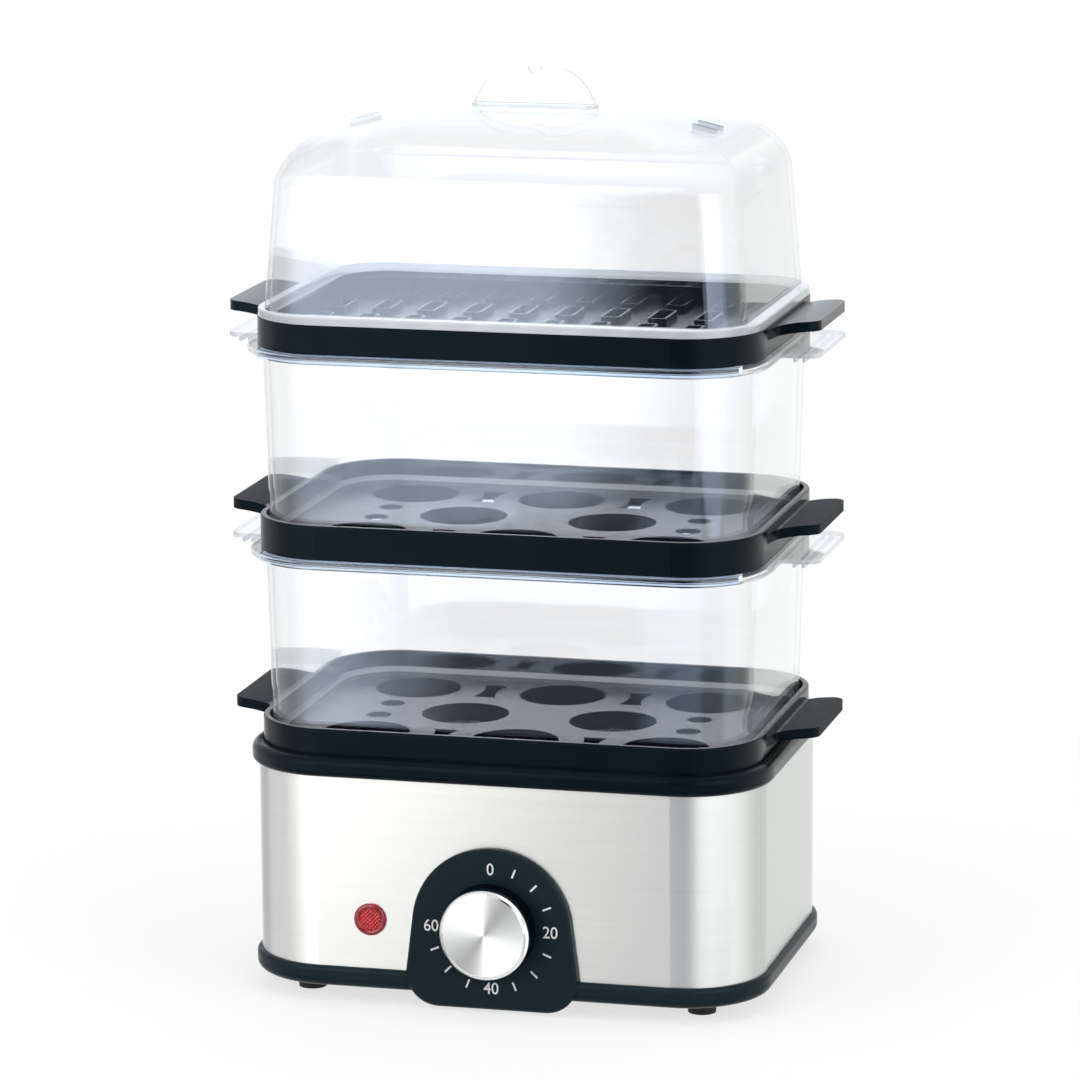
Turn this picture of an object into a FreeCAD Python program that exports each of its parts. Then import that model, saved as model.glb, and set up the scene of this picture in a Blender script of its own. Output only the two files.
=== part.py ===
import FreeCAD, Part
import math
import os

os.makedirs("parts", exist_ok=True)

# Three-tier electric egg boiler. Millimetres, +Z up, the front faces -Y.
# The origin is on the floor, under the centre of the base.

V = FreeCAD.Vector
RIGHT = V(1, 0, 0)
BACK = V(0, 1, 0)
FRONT = V(0, -1, 0)

# ---- the stack's outline, shared by trays, tiers, lid and base ----
tray_width = 218.6
tray_depth = 154.6
tray_corner = 32.5

# ---- steel shell ----
shell_margin_side = 1.7
shell_margin_front = 2.7
shell_sheet = 0.8
shell_corner_cut = 0.5
shell_show = 83.0
seam_width = 0.5
seam_depth = 0.4

# ---- bottom cover, feet and their screws ----
foot_stand = 6.5
foot_radius = 6.5
foot_taper = 0.5
foot_recess = 1.5
foot_inset_side = 25.0
foot_inset_front = 21.0
rim_height = 9.1
rim_overhang = 2.2
rim_round = 4.0
rim_top_round = 2.0
rim_groove = 3.0
cover_floor = 2.5
cover_upstand = 5.0
cover_wall = 2.5
cover_vent_width = 3.0
cover_vent_length = 26.0
cover_vent_pitch = 8.0
cover_vent_count = 7
post_radius = 4.5
screw_radius = 1.6
screw_head_radius = 3.2
screw_head_height = 2.2
screw_bite = 12.0
cross_width = 0.8
cross_length = 3.8
cross_depth = 1.1
foot_sole = 3.5

# ---- top bezel ----
bezel_height = 8.9
bezel_overhang = 3.0
bezel_top_round = 3.6
bezel_low_round = 2.4
bezel_groove = 1.5
tray_sink = 5.8
ledge_width = 1.8
shelf_drop = 7.7
shelf_thickness = 2.5

# ---- fits ----
snug_gap = 0.15
lift_gap = 0.5
cup_gap = 0.3
thread_gap = 0.05
running_gap = 0.05
pilot_spare = 1.0
cut_margin = 1.0
edge_match = 0.01
slot_end_flat = 0.05

# ---- trays ----
tray_wall = 2.5
tray_round = 0.8
plate_drop = 8.8
plate_thickness = 2.0
egg_tray_height = 16.6
steam_tray_height = 14.4
egg_hole_radius = 19.0
egg_column_pitch = 33.0
egg_row_pitch = 42.0
collar_wall = 1.5
collar_depth = 6.0
waist_slot_length = 22.0
waist_slot_width = 11.5
waist_rib = 10.8
drain_hole_radius = 5.5
drain_hole_side = 69.0
drain_hole_front = 11.0
grip_reach = 19.9
grip_tip_length = 58.0
grip_root_length = 76.0
grip_thickness = 4.3
grip_root_drop = 2.9
egg_grip_rise = 0.1
steam_grip_rise = 1.2
grip_corner = 6.0
grip_neck_share = 0.15
grip_neck_flare = 2.0
grip_bend_share = 0.4
grip_bend_drop = 0.95
grip_heel_drop = 0.3
slot_rim_length = 24.0
slot_rim_width = 8.6
slot_rim_wall = 1.1
slot_rim_height = 2.7
slot_rim_corner = 2.6
slot_pitch_side = 20.4
slot_pitch_front = 36.0
long_row_slots = 10
short_row_slots = 8

# ---- clear tiers ----
tier_height = 79.9
tier_wall = 2.0
tier_flare = 2.2
tier_gap = 2.2
tier_corner_cut = 1.8
shelf_sheet = 2.0
lip_height = 2.0
lip_wall = 1.6
lip_overhang = 4.5
lip_round = 0.8
clear_grip_reach = 15.6
clear_grip_length = 61.0
clear_grip_sheet = 2.0
clear_grip_rib = 1.6
clear_grip_rib_wall = 1.2
clear_grip_rib_shares = (0.3, 0.55)
clear_grip_bury = 1.0

# ---- lid ----
lid_flange_sheet = 3.4
lid_flange_round = 0.85
lid_flange_inset = 0.3
lid_inset = 5.25
lid_corner = 19.1
lid_sheet = 2.0
lid_wall_height = 52.6
lid_draft = 0.07
shoulder_width = 12.2
shoulder_height = 15.9
shoulder_power = 1.74
crown_height = 12.9
crown_power = 1.54
corner_growth = 0.7
crown_flat_share = 0.9
crown_steps = 9
shoulder_steps = 9
dome_lead = 4.0
locating_lip = 3.0
locating_wall = 1.8
vent_side = 75.0
vent_length = 11.0
vent_width = 2.4
vent_pitch = 11.0
vent_count = 2
handle_width = 53.0
handle_rise = 16.4
handle_sheet = 3.0
handle_notch_radius = 3.0
handle_prong_width = 9.0
handle_prong_spread = 17.0
handle_prong_length = 4.0
handle_foot_sheet = 1.2
handle_foot_width = 55.0
handle_foot_depth = 9.0
handle_foot_corner = 4.0
# Half of the handle's outline: share of its half width, share of its height.
handle_profile = ((1.0, 0.0), (0.91, 0.3), (0.81, 0.56), (0.66, 0.8), (0.49, 0.93), (0.28, 1.0), (0.0, 1.0))

# ---- dial panel, knob and timer ----
dial_height = 37.2
panel_proud = 3.4
panel_arch_radius = 34.6
panel_foot_radius = 14.0
panel_foot_spread = 23.5
panel_floor_gap = 1.6
panel_bevel = 0.9
knob_radius = 20.0
knob_rib_depth = 0.5
knob_ribs = 120
knob_gap = 0.8
knob_depth = 8.6
knob_face = 2.0
knob_wall = 2.4
hub_radius = 6.0
hub_gap = 1.6
cap_radius = 19.5
cap_shoulder_radius = 18.5
cap_flat_radius = 17.6
cap_thickness = 2.6
cap_edge = 1.4
cap_bevel_rise = 0.35
cap_mark_width = 0.7
cap_mark_length = 3.2
cap_mark_depth = 0.2
cap_ribs = 120
cap_rib_depth = 0.35
bushing_radius = 4.9
bushing_proud = 0.6
shaft_radius = 3.0
shaft_inside = 14.0
shaft_in_knob = 7.0
timer_width = 46.0
timer_tall = 44.0
timer_deep = 22.0
timer_corner = 3.0
timer_screw_spread = 15.0
timer_screw_radius = 1.5
timer_screw_head = 2.8
timer_screw_head_height = 1.8
timer_screw_bite = 6.0
bell_radius = 20.0
bell_depth = 14.0
bell_sheet = 1.2
bell_round = 3.6
bell_gap = 2.0
bell_post_radius = 2.5
bell_nut_radius = 4.5
bell_nut_height = 2.6
tab_width = 6.3
tab_sheet = 0.8
tab_length = 8.0
tab_side = 17.0
tab_up = 18.2

# ---- lamp ----
lamp_side = 53.7
lens_radius = 6.25
lens_rim = 0.9
lens_rise = 1.5
lens_facets = 12
lens_edge = 0.2
lens_girdle_radius = 5.4
lens_girdle_rise = 0.9
lens_table_radius = 4.8
lens_stem = 9.0
lamp_ring_radius = 7.0
lamp_ring_height = 0.9
lamp_ring_floor = 0.3
lamp_tube_radius = 5.8
lamp_tube_wall = 1.1
lamp_tube_length = 20.0
lamp_clip_radius = 9.0
lamp_clip_sheet = 1.5
bulb_radius = 2.6
bulb_length = 8.0
bulb_round = 1.5
lamp_lead_pitch = 4.0

# ---- water dish and heater ----
dish_margin_side = 21.3
dish_margin_front = 20.3
dish_corner = 26.0
dish_sheet = 1.0
dish_round = 2.5
dish_depth = 14.0
dish_flange = 4.0
dish_gap = 1.5
gasket_thickness = 1.2
spreader_width = 130.0
spreader_depth = 80.0
spreader_corner = 20.0
spreader_thickness = 4.0
element_radius = 3.3
element_bed = 1.8
element_half_gap = 24.0
element_reach = 36.0
element_leg_inset = 17.0
pin_radius = 1.2
pin_length = 14.0
insulator_radius = 2.8
insulator_length = 5.0
stud_radius = 2.0
stud_side = 45.0
stud_front = 47.0
stud_length = 17.0
earth_stud_side = 60.0
earth_stud_front = 42.0
nut_radius = 3.8
nut_height = 3.2
bracket_width = 20.0
bracket_sheet = 1.5
bracket_gap = 0.4
bracket_foot_inset = 6.0
thermostat_side = 18.0
thermostat_radius = 8.5
thermostat_height = 9.0
thermostat_ear_pitch = 24.0
thermostat_ear_radius = 3.4
thermostat_ear_sheet = 1.2
thermostat_tab_pitch = 10.0
small_screw_radius = 1.4
small_screw_head = 2.6
small_screw_head_height = 1.6
small_screw_bite = 2.6
fuse_side = 22.0
fuse_radius = 2.1
fuse_length = 12.0
fuse_clip_sheet = 1.0
fuse_clip_length = 7.0
fuse_clip_foot = 6.5

# ---- wiring, terminal block and cord gland ----
lead_radius = 1.0
lead_bend_share = 0.45
block_post_gap = 6.5
block_back = 52.0
block_width = 34.0
block_depth = 16.0
block_height = 15.0
block_well_depth = 4.5
pole_pitch = 8.0
block_low_entry = 4.0
block_high_entry = 9.0
gland_side = 62.0
gland_height = 46.0
gland_bore_radius = 3.6
gland_body_radius = 6.3
gland_snout_radius = 7.3
gland_flange_radius = 10.0
gland_flange_sheet = 2.0
gland_reach = 15.4
gland_tip_radius = 5.6
gland_inside = 11.0
gland_nut_radius = 9.6
gland_nut_height = 5.0

# ---- levels and sizes worked out from the values above ----
shell_width = tray_width + 2 * shell_margin_side
shell_depth = tray_depth + 2 * shell_margin_front
shell_corner = tray_corner + (shell_margin_side + shell_margin_front) / 2 - shell_corner_cut
shell_front = -shell_depth / 2
rim_top = foot_stand + rim_height
floor_top = foot_stand + cover_floor
shell_low = rim_top - rim_groove
bezel_low = rim_top + shell_show
shell_top = bezel_low + bezel_groove
bezel_top = bezel_low + bezel_height
seat_level = bezel_top - tray_sink
shelf_top = seat_level - shelf_drop
shelf_low = shelf_top - shelf_thickness
plate_top_of_egg_tray = egg_tray_height - plate_drop
tier_pitch = plate_top_of_egg_tray + tier_height
lower_tray_level = seat_level
lower_wall_level = lower_tray_level + plate_top_of_egg_tray
upper_tray_level = lower_tray_level + tier_pitch
upper_wall_level = lower_wall_level + tier_pitch
steam_tray_level = upper_tray_level + tier_pitch
lid_level = steam_tray_level + steam_tray_height
lid_wall_low = lid_level + lid_flange_sheet
lid_width = tray_width - 2 * lid_inset
lid_depth = tray_depth - 2 * lid_inset
lid_wall_top = lid_wall_low + lid_wall_height
lid_top = lid_wall_top + shoulder_height + crown_height
dome_half_depth = lid_depth / 2 - lid_draft * (lid_top - lid_wall_low)
crown_flat_inset = dome_half_depth * crown_flat_share
panel_face = shell_front - panel_proud
knob_back = panel_face - knob_gap
knob_front = knob_back - knob_depth
inner_front = shell_front + shell_sheet
inner_back = -inner_front
timer_back = inner_front + timer_deep
gasket_top = shelf_top + gasket_thickness
dish_width = tray_width - 2 * dish_margin_side
dish_length = tray_depth - 2 * dish_margin_front
dish_floor = gasket_top + dish_sheet - dish_depth
dish_low = dish_floor - dish_sheet
spreader_low = dish_low - spreader_thickness
element_level = spreader_low - element_radius + element_bed
bracket_top = element_level - element_radius - bracket_gap
bracket_low = bracket_top - bracket_sheet
fuse_level = spreader_low - fuse_radius
element_leg_end = spreader_width / 2 - element_leg_inset
foot_side = shell_width / 2 - foot_inset_side
foot_front = shell_depth / 2 - foot_inset_front
block_side = foot_side - post_radius - block_post_gap - block_width / 2


def rounded_outline(width, depth, radius, level):
    """Closed outline of a rectangle with rounded corners, centred on the Z axis."""
    arm = radius * math.sqrt(0.5)
    far_x = width / 2 - radius
    far_y = depth / 2 - radius
    arcs = []
    for x, y, turn in ((far_x, -far_y, -90), (far_x, far_y, 0), (-far_x, far_y, 90), (-far_x, -far_y, 180)):
        start = math.radians(turn)
        first = V(x + radius * math.cos(start), y + radius * math.sin(start), level)
        diagonal = start + math.pi / 4
        middle_x = math.copysign(arm, math.cos(diagonal))
        middle_y = math.copysign(arm, math.sin(diagonal))
        middle = V(x + middle_x, y + middle_y, level)
        last = V(x - radius * math.sin(start), y + radius * math.cos(start), level)
        arcs.append((first, middle, last))
    edges = []
    for index, (first, middle, last) in enumerate(arcs):
        edges.append(Part.Arc(first, middle, last).toShape())
        following = arcs[(index + 1) % len(arcs)][0]
        edges.append(Part.LineSegment(last, following).toShape())
    return Part.Wire(edges)


def rounded_block(width, depth, radius, low, high):
    """Upright prism of a rounded rectangle."""
    outline = rounded_outline(width, depth, radius, low)
    return Part.Face(outline).extrude(V(0, 0, high - low))


def tapered_block(low_size, high_size, low, high):
    """Prism of a rounded rectangle whose size changes evenly with height."""
    return Part.makeLoft([rounded_outline(*low_size, low), rounded_outline(*high_size, high)], True, True)


def grown(size, growth):
    """The (width, depth, radius) of an outline moved outwards on every side."""
    width, depth, radius = size
    return (width + 2 * growth, depth + 2 * growth, radius + growth)


def level_edges(shape, level):
    """Edges that lie flat at one height."""
    return [edge for edge in shape.Edges
            if abs(edge.BoundBox.ZMin - level) < edge_match
            and abs(edge.BoundBox.ZMax - level) < edge_match]


def box(low, high):
    """Block between two opposite corners."""
    return Part.makeBox(high[0] - low[0], high[1] - low[1], high[2] - low[2], V(*low))


def rod(radius, start, end):
    """Cylinder from one point to another."""
    start = V(*start)
    along = V(*end) - start
    return Part.makeCylinder(radius, along.Length, start, along)


def tube(outer, inner, start, end):
    """Hollow cylinder from one point to another."""
    return rod(outer, start, end).cut(rod(inner, start, end))


def polygon_prism(points, along):
    """Prism of a closed polygon given by its corners."""
    corners = [V(*point) for point in points]
    return Part.Face(Part.makePolygon(corners + corners[:1])).extrude(along)


def joined(shapes):
    """One solid from pieces that touch or overlap."""
    first = shapes[0]
    return first.multiFuse(shapes[1:]).removeSplitter()


def without(shape, tools):
    """The shape with every tool cut away."""
    return shape.cut(tools)


def moved(shape, x, y, z):
    """A copy of the shape at another place."""
    copy = shape.copy()
    copy.translate(V(x, y, z))
    return copy


def mirrored_pair(shape):
    """The shape and its twin on the other side of the middle plane."""
    return [shape, shape.mirror(V(0, 0, 0), RIGHT)]


def hexagon(radius, center, height):
    """Upright six-sided prism, radius to its corners."""
    points = []
    for index in range(6):
        angle = math.radians(60 * index)
        x = center[0] + radius * math.cos(angle)
        y = center[1] + radius * math.sin(angle)
        points.append((x, y, center[2]))
    return polygon_prism(points, V(0, 0, height))


def star_outline(radius, depth, ribs, y):
    """Ribbed round outline about the dial's axis, in the plane at y."""
    points = []
    for index in range(2 * ribs):
        angle = math.pi * index / ribs
        reach = radius - depth * (index % 2)
        points.append(V(reach * math.sin(angle), y, dial_height + reach * math.cos(angle)))
    return Part.makePolygon(points + points[:1])


def corner_places(half_x, half_y):
    """The four places that mirror one another about both middle planes."""
    return [(x, y) for x in (-half_x, half_x) for y in (-half_y, half_y)]


shell_size = (shell_width, shell_depth, shell_corner)
shell_inner = grown(shell_size, -shell_sheet)
tray_size = (tray_width, tray_depth, tray_corner)
tray_inner = grown(tray_size, -tray_wall)
foot_places = corner_places(foot_side, foot_front)
shell_bore = shell_sheet * 3


def shell_hole(radius, x, level, side):
    """Tool that bores the shell's front (-1) or back (1) sheet."""
    middle = side * (shell_depth / 2 - shell_sheet / 2)
    return rod(radius, (x, middle - shell_bore, level), (x, middle + shell_bore, level))


# ---- base ----
def steel_shell():
    sleeve = rounded_block(*shell_size, shell_low, shell_top)
    sleeve = sleeve.cut(rounded_block(*shell_inner, shell_low, shell_top))
    holes = [
        shell_hole(bushing_radius + snug_gap, 0, dial_height, -1),
        shell_hole(lamp_tube_radius + snug_gap, -lamp_side, dial_height, -1),
        shell_hole(gland_body_radius + snug_gap, gland_side, gland_height, 1),
    ]
    for x in (-timer_screw_spread, timer_screw_spread):
        holes.append(shell_hole(timer_screw_radius + snug_gap, x, dial_height, -1))
    back = shell_depth / 2
    seam = box((-seam_width / 2, back - seam_depth, shell_low), (seam_width / 2, back, shell_top))
    return without(sleeve, holes + [seam])


def base_cover():
    rim_size = grown(shell_size, rim_overhang)
    rim = rounded_block(*rim_size, foot_stand, rim_top)
    rim = rim.makeFillet(rim_round, level_edges(rim, foot_stand))
    rim = rim.makeFillet(rim_top_round, level_edges(rim, rim_top))
    inside = grown(shell_inner, -snug_gap - cover_wall)
    upstand_top = floor_top + cover_upstand
    groove = rounded_block(*grown(shell_size, snug_gap), shell_low, rim_top)
    core = rounded_block(*grown(shell_inner, -snug_gap), shell_low, upstand_top)
    cover = rim.cut(groove).fuse(core)
    cuts = [rounded_block(*inside, floor_top, upstand_top)]
    for x, y in foot_places:
        cuts.append(rod(foot_radius + snug_gap, (x, y, foot_stand), (x, y, foot_stand + foot_recess)))
        cuts.append(rod(screw_radius + snug_gap, (x, y, foot_stand), (x, y, floor_top)))
    for index in range(cover_vent_count):
        x = (index - (cover_vent_count - 1) / 2) * cover_vent_pitch
        half = cover_vent_width / 2
        far = cover_vent_length / 2
        cuts.append(box((x - half, -far, foot_stand), (x + half, far, floor_top)))
    return without(cover, cuts)


def feet():
    feet_made = []
    recess_top = foot_stand + foot_recess
    for x, y in foot_places:
        foot = Part.makeCone(foot_radius - foot_taper, foot_radius, recess_top, V(x, y, 0))
        foot = foot.cut(rod(screw_head_radius + snug_gap, (x, y, 0), (x, y, foot_sole)))
        foot = foot.cut(rod(screw_radius + snug_gap, (x, y, 0), (x, y, recess_top)))
        feet_made.append(foot)
    return Part.makeCompound(feet_made)


def cover_screws():
    screws = []
    for x, y in foot_places:
        head = rod(screw_head_radius, (x, y, foot_sole - screw_head_height), (x, y, foot_sole))
        stem = rod(screw_radius, (x, y, foot_sole), (x, y, floor_top + screw_bite))
        low = foot_sole - screw_head_height
        wide = cross_length / 2
        thin = cross_width / 2
        recess = [box((x - wide, y - thin, low), (x + wide, y + thin, low + cross_depth)),
                  box((x - thin, y - wide, low), (x + thin, y + wide, low + cross_depth))]
        screws.append(without(head.fuse(stem), recess))
    return Part.makeCompound(screws)


def top_bezel():
    outer_size = grown(shell_size, bezel_overhang)
    ring = rounded_block(*outer_size, bezel_low, bezel_top)
    ring = ring.makeFillet(bezel_top_round, level_edges(ring, bezel_top))
    ring = ring.makeFillet(bezel_low_round, level_edges(ring, bezel_low))
    core_size = grown(shell_inner, -snug_gap)
    core = rounded_block(*core_size, shelf_low, shell_top)
    groove = rounded_block(*grown(shell_size, snug_gap), bezel_low, shell_top)
    bezel = ring.cut(groove).fuse(core)
    well = rounded_block(*grown(tray_size, lift_gap), seat_level, bezel_top)
    throat = rounded_block(*grown(tray_size, -ledge_width), shelf_top, seat_level)
    window = rounded_block(dish_width + 2 * dish_gap, dish_length + 2 * dish_gap,
                           dish_corner + dish_gap, shelf_low, shelf_top)
    bezel = without(bezel, [well, throat, window])
    posts = [rod(post_radius, (x, y, floor_top), (x, y, shelf_low)) for x, y in foot_places]
    bezel = joined([bezel] + posts)
    pilot_top = floor_top + screw_bite + pilot_spare
    pilots = [rod(screw_radius + thread_gap, (x, y, floor_top), (x, y, pilot_top)) for x, y in foot_places]
    return without(bezel, pilots)


# ---- water dish and heater ----
def heating_plate():
    flange = rounded_block(dish_width + 2 * dish_flange, dish_length + 2 * dish_flange,
                           dish_corner + dish_flange, gasket_top, gasket_top + dish_sheet)
    dish_size = (dish_width, dish_length, dish_corner)
    dish = rounded_block(*dish_size, dish_low, gasket_top + dish_sheet)
    dish = dish.makeFillet(dish_round, level_edges(dish, dish_low))
    hollow = rounded_block(*grown(dish_size, -dish_sheet), dish_floor, gasket_top + dish_sheet)
    hollow = hollow.makeFillet(dish_round - dish_sheet, level_edges(hollow, dish_floor))
    return flange.fuse(dish).cut(hollow).removeSplitter()


def plate_gasket():
    outer = rounded_block(dish_width + 2 * dish_flange, dish_length + 2 * dish_flange,
                          dish_corner + dish_flange, shelf_top, gasket_top)
    inner = rounded_block(dish_width + 2 * dish_gap, dish_length + 2 * dish_gap,
                          dish_corner + dish_gap, shelf_top, gasket_top)
    return outer.cut(inner)


def element_path(start_x, level):
    """Horseshoe centre line: two legs joined by a half circle at the +X end."""
    gap = element_half_gap
    near = Part.LineSegment(V(-start_x, -gap, level), V(element_reach, -gap, level)).toShape()
    bend = Part.Arc(V(element_reach, -gap, level), V(element_reach + gap, 0, level),
                    V(element_reach, gap, level)).toShape()
    far = Part.LineSegment(V(element_reach, gap, level), V(-start_x, gap, level)).toShape()
    return Part.Wire([near, bend, far])


def element_tube(radius, start_x):
    profile = Part.Wire(Part.makeCircle(radius, V(-start_x, -element_half_gap, element_level), RIGHT))
    return element_path(start_x, element_level).makePipeShell([profile], True, True)


def heating_element():
    return element_tube(element_radius, element_leg_end)


def heat_spreader():
    plate = rounded_block(spreader_width, spreader_depth, spreader_corner, spreader_low, dish_low)
    bed = element_tube(element_radius + thread_gap, spreader_width / 2 + element_radius)
    taps = []
    half_pitch = thermostat_ear_pitch / 2
    for x, y in [(thermostat_side, -half_pitch), (thermostat_side, half_pitch)] + fuse_screw_places():
        taps.append(rod(small_screw_radius + thread_gap, (x, y, spreader_low),
                        (x, y, spreader_low + small_screw_bite)))
    return without(plate, [bed] + taps)


def element_pins():
    pins = []
    for y in (-element_half_gap, element_half_gap):
        pins.append(rod(pin_radius, (-element_leg_end, y, element_level),
                        (-element_leg_end - pin_length, y, element_level)))
    return Part.makeCompound(pins)


def pin_insulators():
    beads = []
    for y in (-element_half_gap, element_half_gap):
        beads.append(tube(insulator_radius, pin_radius + thread_gap, (-element_leg_end, y, element_level),
                          (-element_leg_end - insulator_length, y, element_level)))
    return Part.makeCompound(beads)


def stud_places():
    return [(-stud_side, -stud_front), (-stud_side, stud_front), (earth_stud_side, -earth_stud_front)]


def plate_studs():
    return Part.makeCompound([rod(stud_radius, (x, y, dish_low), (x, y, dish_low - stud_length))
                              for x, y in stud_places()])


def plate_bracket():
    half = bracket_width / 2
    outer_y = dish_length / 2 + bracket_foot_inset
    low_x = -stud_side - half
    high_x = -stud_side + half
    bar = box((low_x, -outer_y, bracket_low), (high_x, outer_y, bracket_top))
    legs = []
    for side in (-1, 1):
        inner = side * (outer_y - bracket_sheet)
        edge = side * outer_y
        legs.append(box((low_x, min(inner, edge), bracket_low), (high_x, max(inner, edge), shelf_low)))
    bracket = joined([bar] + legs)
    holes = [rod(stud_radius + snug_gap, (-stud_side, y, bracket_low), (-stud_side, y, bracket_top))
             for y in (-stud_front, stud_front)]
    return without(bracket, holes)


def plate_nuts():
    nuts = []
    for x, y in stud_places():
        nut = hexagon(nut_radius, (x, y, bracket_low - nut_height), nut_height)
        bore = rod(stud_radius + thread_gap, (x, y, bracket_low - nut_height), (x, y, bracket_low))
        nuts.append(nut.cut(bore))
    return Part.makeCompound(nuts)


def thermostat():
    low = spreader_low - thermostat_height
    x = thermostat_side
    half_pitch = thermostat_ear_pitch / 2
    body = rod(thermostat_radius, (x, 0, low), (x, 0, spreader_low))
    ear_low = spreader_low - thermostat_ear_sheet
    strap = box((x - thermostat_ear_radius, -half_pitch, ear_low),
                (x + thermostat_ear_radius, half_pitch, spreader_low))
    pieces = [body, strap]
    for y in (-half_pitch, half_pitch):
        pieces.append(rod(thermostat_ear_radius, (x, y, ear_low), (x, y, spreader_low)))
    for side in (-1, 1):
        tab_x = x + side * thermostat_tab_pitch / 2
        pieces.append(box((tab_x - tab_sheet / 2, -tab_width / 2, low - tab_length),
                          (tab_x + tab_sheet / 2, tab_width / 2, low)))
    holes = [rod(small_screw_radius + snug_gap, (x, y, ear_low), (x, y, spreader_low))
             for y in (-half_pitch, half_pitch)]
    return without(joined(pieces), holes)


def small_screw(x, y, seat):
    """Screw whose head bears upwards on a sheet at the seat level."""
    head = rod(small_screw_head, (x, y, seat - small_screw_head_height), (x, y, seat))
    return head.fuse(rod(small_screw_radius, (x, y, seat), (x, y, spreader_low + small_screw_bite)))


def thermostat_screws():
    half_pitch = thermostat_ear_pitch / 2
    seat = spreader_low - thermostat_ear_sheet
    return Part.makeCompound([small_screw(thermostat_side, y, seat) for y in (-half_pitch, half_pitch)])


def fuse_screw_places():
    return [(-fuse_side, -fuse_clip_foot), (-fuse_side, fuse_clip_foot)]


def thermal_fuse():
    half = fuse_length / 2
    return rod(fuse_radius, (-fuse_side - half, 0, fuse_level), (-fuse_side + half, 0, fuse_level))


def fuse_clip():
    half = fuse_clip_length / 2
    low_x = -fuse_side - half
    high_x = -fuse_side + half
    reach = fuse_clip_foot + small_screw_head
    arch = rod(fuse_radius + thread_gap + fuse_clip_sheet, (low_x, 0, fuse_level), (high_x, 0, fuse_level))
    wings = box((low_x, -reach, spreader_low - fuse_clip_sheet), (high_x, reach, spreader_low))
    clip = arch.fuse(wings)
    bore_radius = fuse_radius + thread_gap
    bore = rod(bore_radius, (low_x, 0, fuse_level), (high_x, 0, fuse_level))
    mouth = box((low_x, -bore_radius, fuse_level), (high_x, bore_radius, dish_low))
    over = box((low_x, -reach, spreader_low), (high_x, reach, dish_low))
    wing_low = spreader_low - fuse_clip_sheet
    holes = [rod(small_screw_radius + snug_gap, (x, y, wing_low), (x, y, spreader_low))
             for x, y in fuse_screw_places()]
    return without(clip, [bore, mouth, over] + holes)


def fuse_screws():
    seat = spreader_low - fuse_clip_sheet
    return Part.makeCompound([small_screw(x, y, seat) for x, y in fuse_screw_places()])


# ---- dial panel, knob and timer ----
def panel_outline(y):
    """Arch over the dial's axis whose sides run tangent into two round bottom corners."""
    corner_level = panel_floor_gap + panel_foot_radius
    reach_x = panel_foot_spread
    reach_z = corner_level - dial_height
    apart = math.hypot(reach_x, reach_z)
    tilt = math.atan2(reach_z, reach_x) + math.acos((panel_arch_radius - panel_foot_radius) / apart)

    def on_circle(center_x, center_z, radius, angle):
        return V(center_x + radius * math.cos(angle), y, center_z + radius * math.sin(angle))

    high_right = on_circle(0, dial_height, panel_arch_radius, tilt)
    crown = on_circle(0, dial_height, panel_arch_radius, math.pi / 2)
    high_left = on_circle(0, dial_height, panel_arch_radius, math.pi - tilt)
    low_right = on_circle(reach_x, corner_level, panel_foot_radius, tilt)
    turn_right = on_circle(reach_x, corner_level, panel_foot_radius, (tilt - math.pi / 2) / 2)
    sole_right = on_circle(reach_x, corner_level, panel_foot_radius, -math.pi / 2)
    sole_left = V(-sole_right.x, y, sole_right.z)
    turn_left = V(-turn_right.x, y, turn_right.z)
    low_left = V(-low_right.x, y, low_right.z)
    return Part.Wire([
        Part.Arc(high_right, crown, high_left).toShape(),
        Part.LineSegment(high_left, low_left).toShape(),
        Part.Arc(low_left, turn_left, sole_left).toShape(),
        Part.LineSegment(sole_left, sole_right).toShape(),
        Part.Arc(sole_right, turn_right, low_right).toShape(),
        Part.LineSegment(low_right, high_right).toShape(),
    ])


def dial_panel():
    panel = Part.Face(panel_outline(shell_front)).extrude(FRONT * panel_proud)
    front_edges = [edge for edge in panel.Edges if edge.BoundBox.YMax < panel_face + edge_match]
    panel = panel.makeChamfer(panel_bevel, front_edges)
    rim_front = shell_front - rim_overhang - snug_gap
    far = panel_foot_spread + panel_foot_radius + cut_margin
    cuts = [
        box((-far, rim_front, 0), (far, shell_front, rim_top + snug_gap)),
        rod(bushing_radius + snug_gap, (0, panel_face, dial_height), (0, shell_front, dial_height)),
    ]
    seat = panel_face + timer_screw_head_height
    for x in (-timer_screw_spread, timer_screw_spread):
        cuts.append(rod(timer_screw_head + snug_gap, (x, panel_face, dial_height), (x, seat, dial_height)))
        cuts.append(rod(timer_screw_radius + snug_gap, (x, seat, dial_height),
                        (x, shell_front, dial_height)))
    return without(panel, cuts)


def timer_screws():
    screws = []
    seat = panel_face + timer_screw_head_height
    end = inner_front + timer_screw_bite
    for x in (-timer_screw_spread, timer_screw_spread):
        head = rod(timer_screw_head, (x, panel_face, dial_height), (x, seat, dial_height))
        stem = rod(timer_screw_radius, (x, seat, dial_height), (x, end, dial_height))
        screws.append(head.fuse(stem))
    return Part.makeCompound(screws)


def shaft_end():
    return knob_back - shaft_in_knob


def timer_shaft():
    return rod(shaft_radius, (0, inner_front + shaft_inside, dial_height), (0, shaft_end(), dial_height))


def timer_tab_places():
    return [(x, dial_height + z) for x in (-tab_side, tab_side) for z in (-tab_up, tab_up)]


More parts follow.
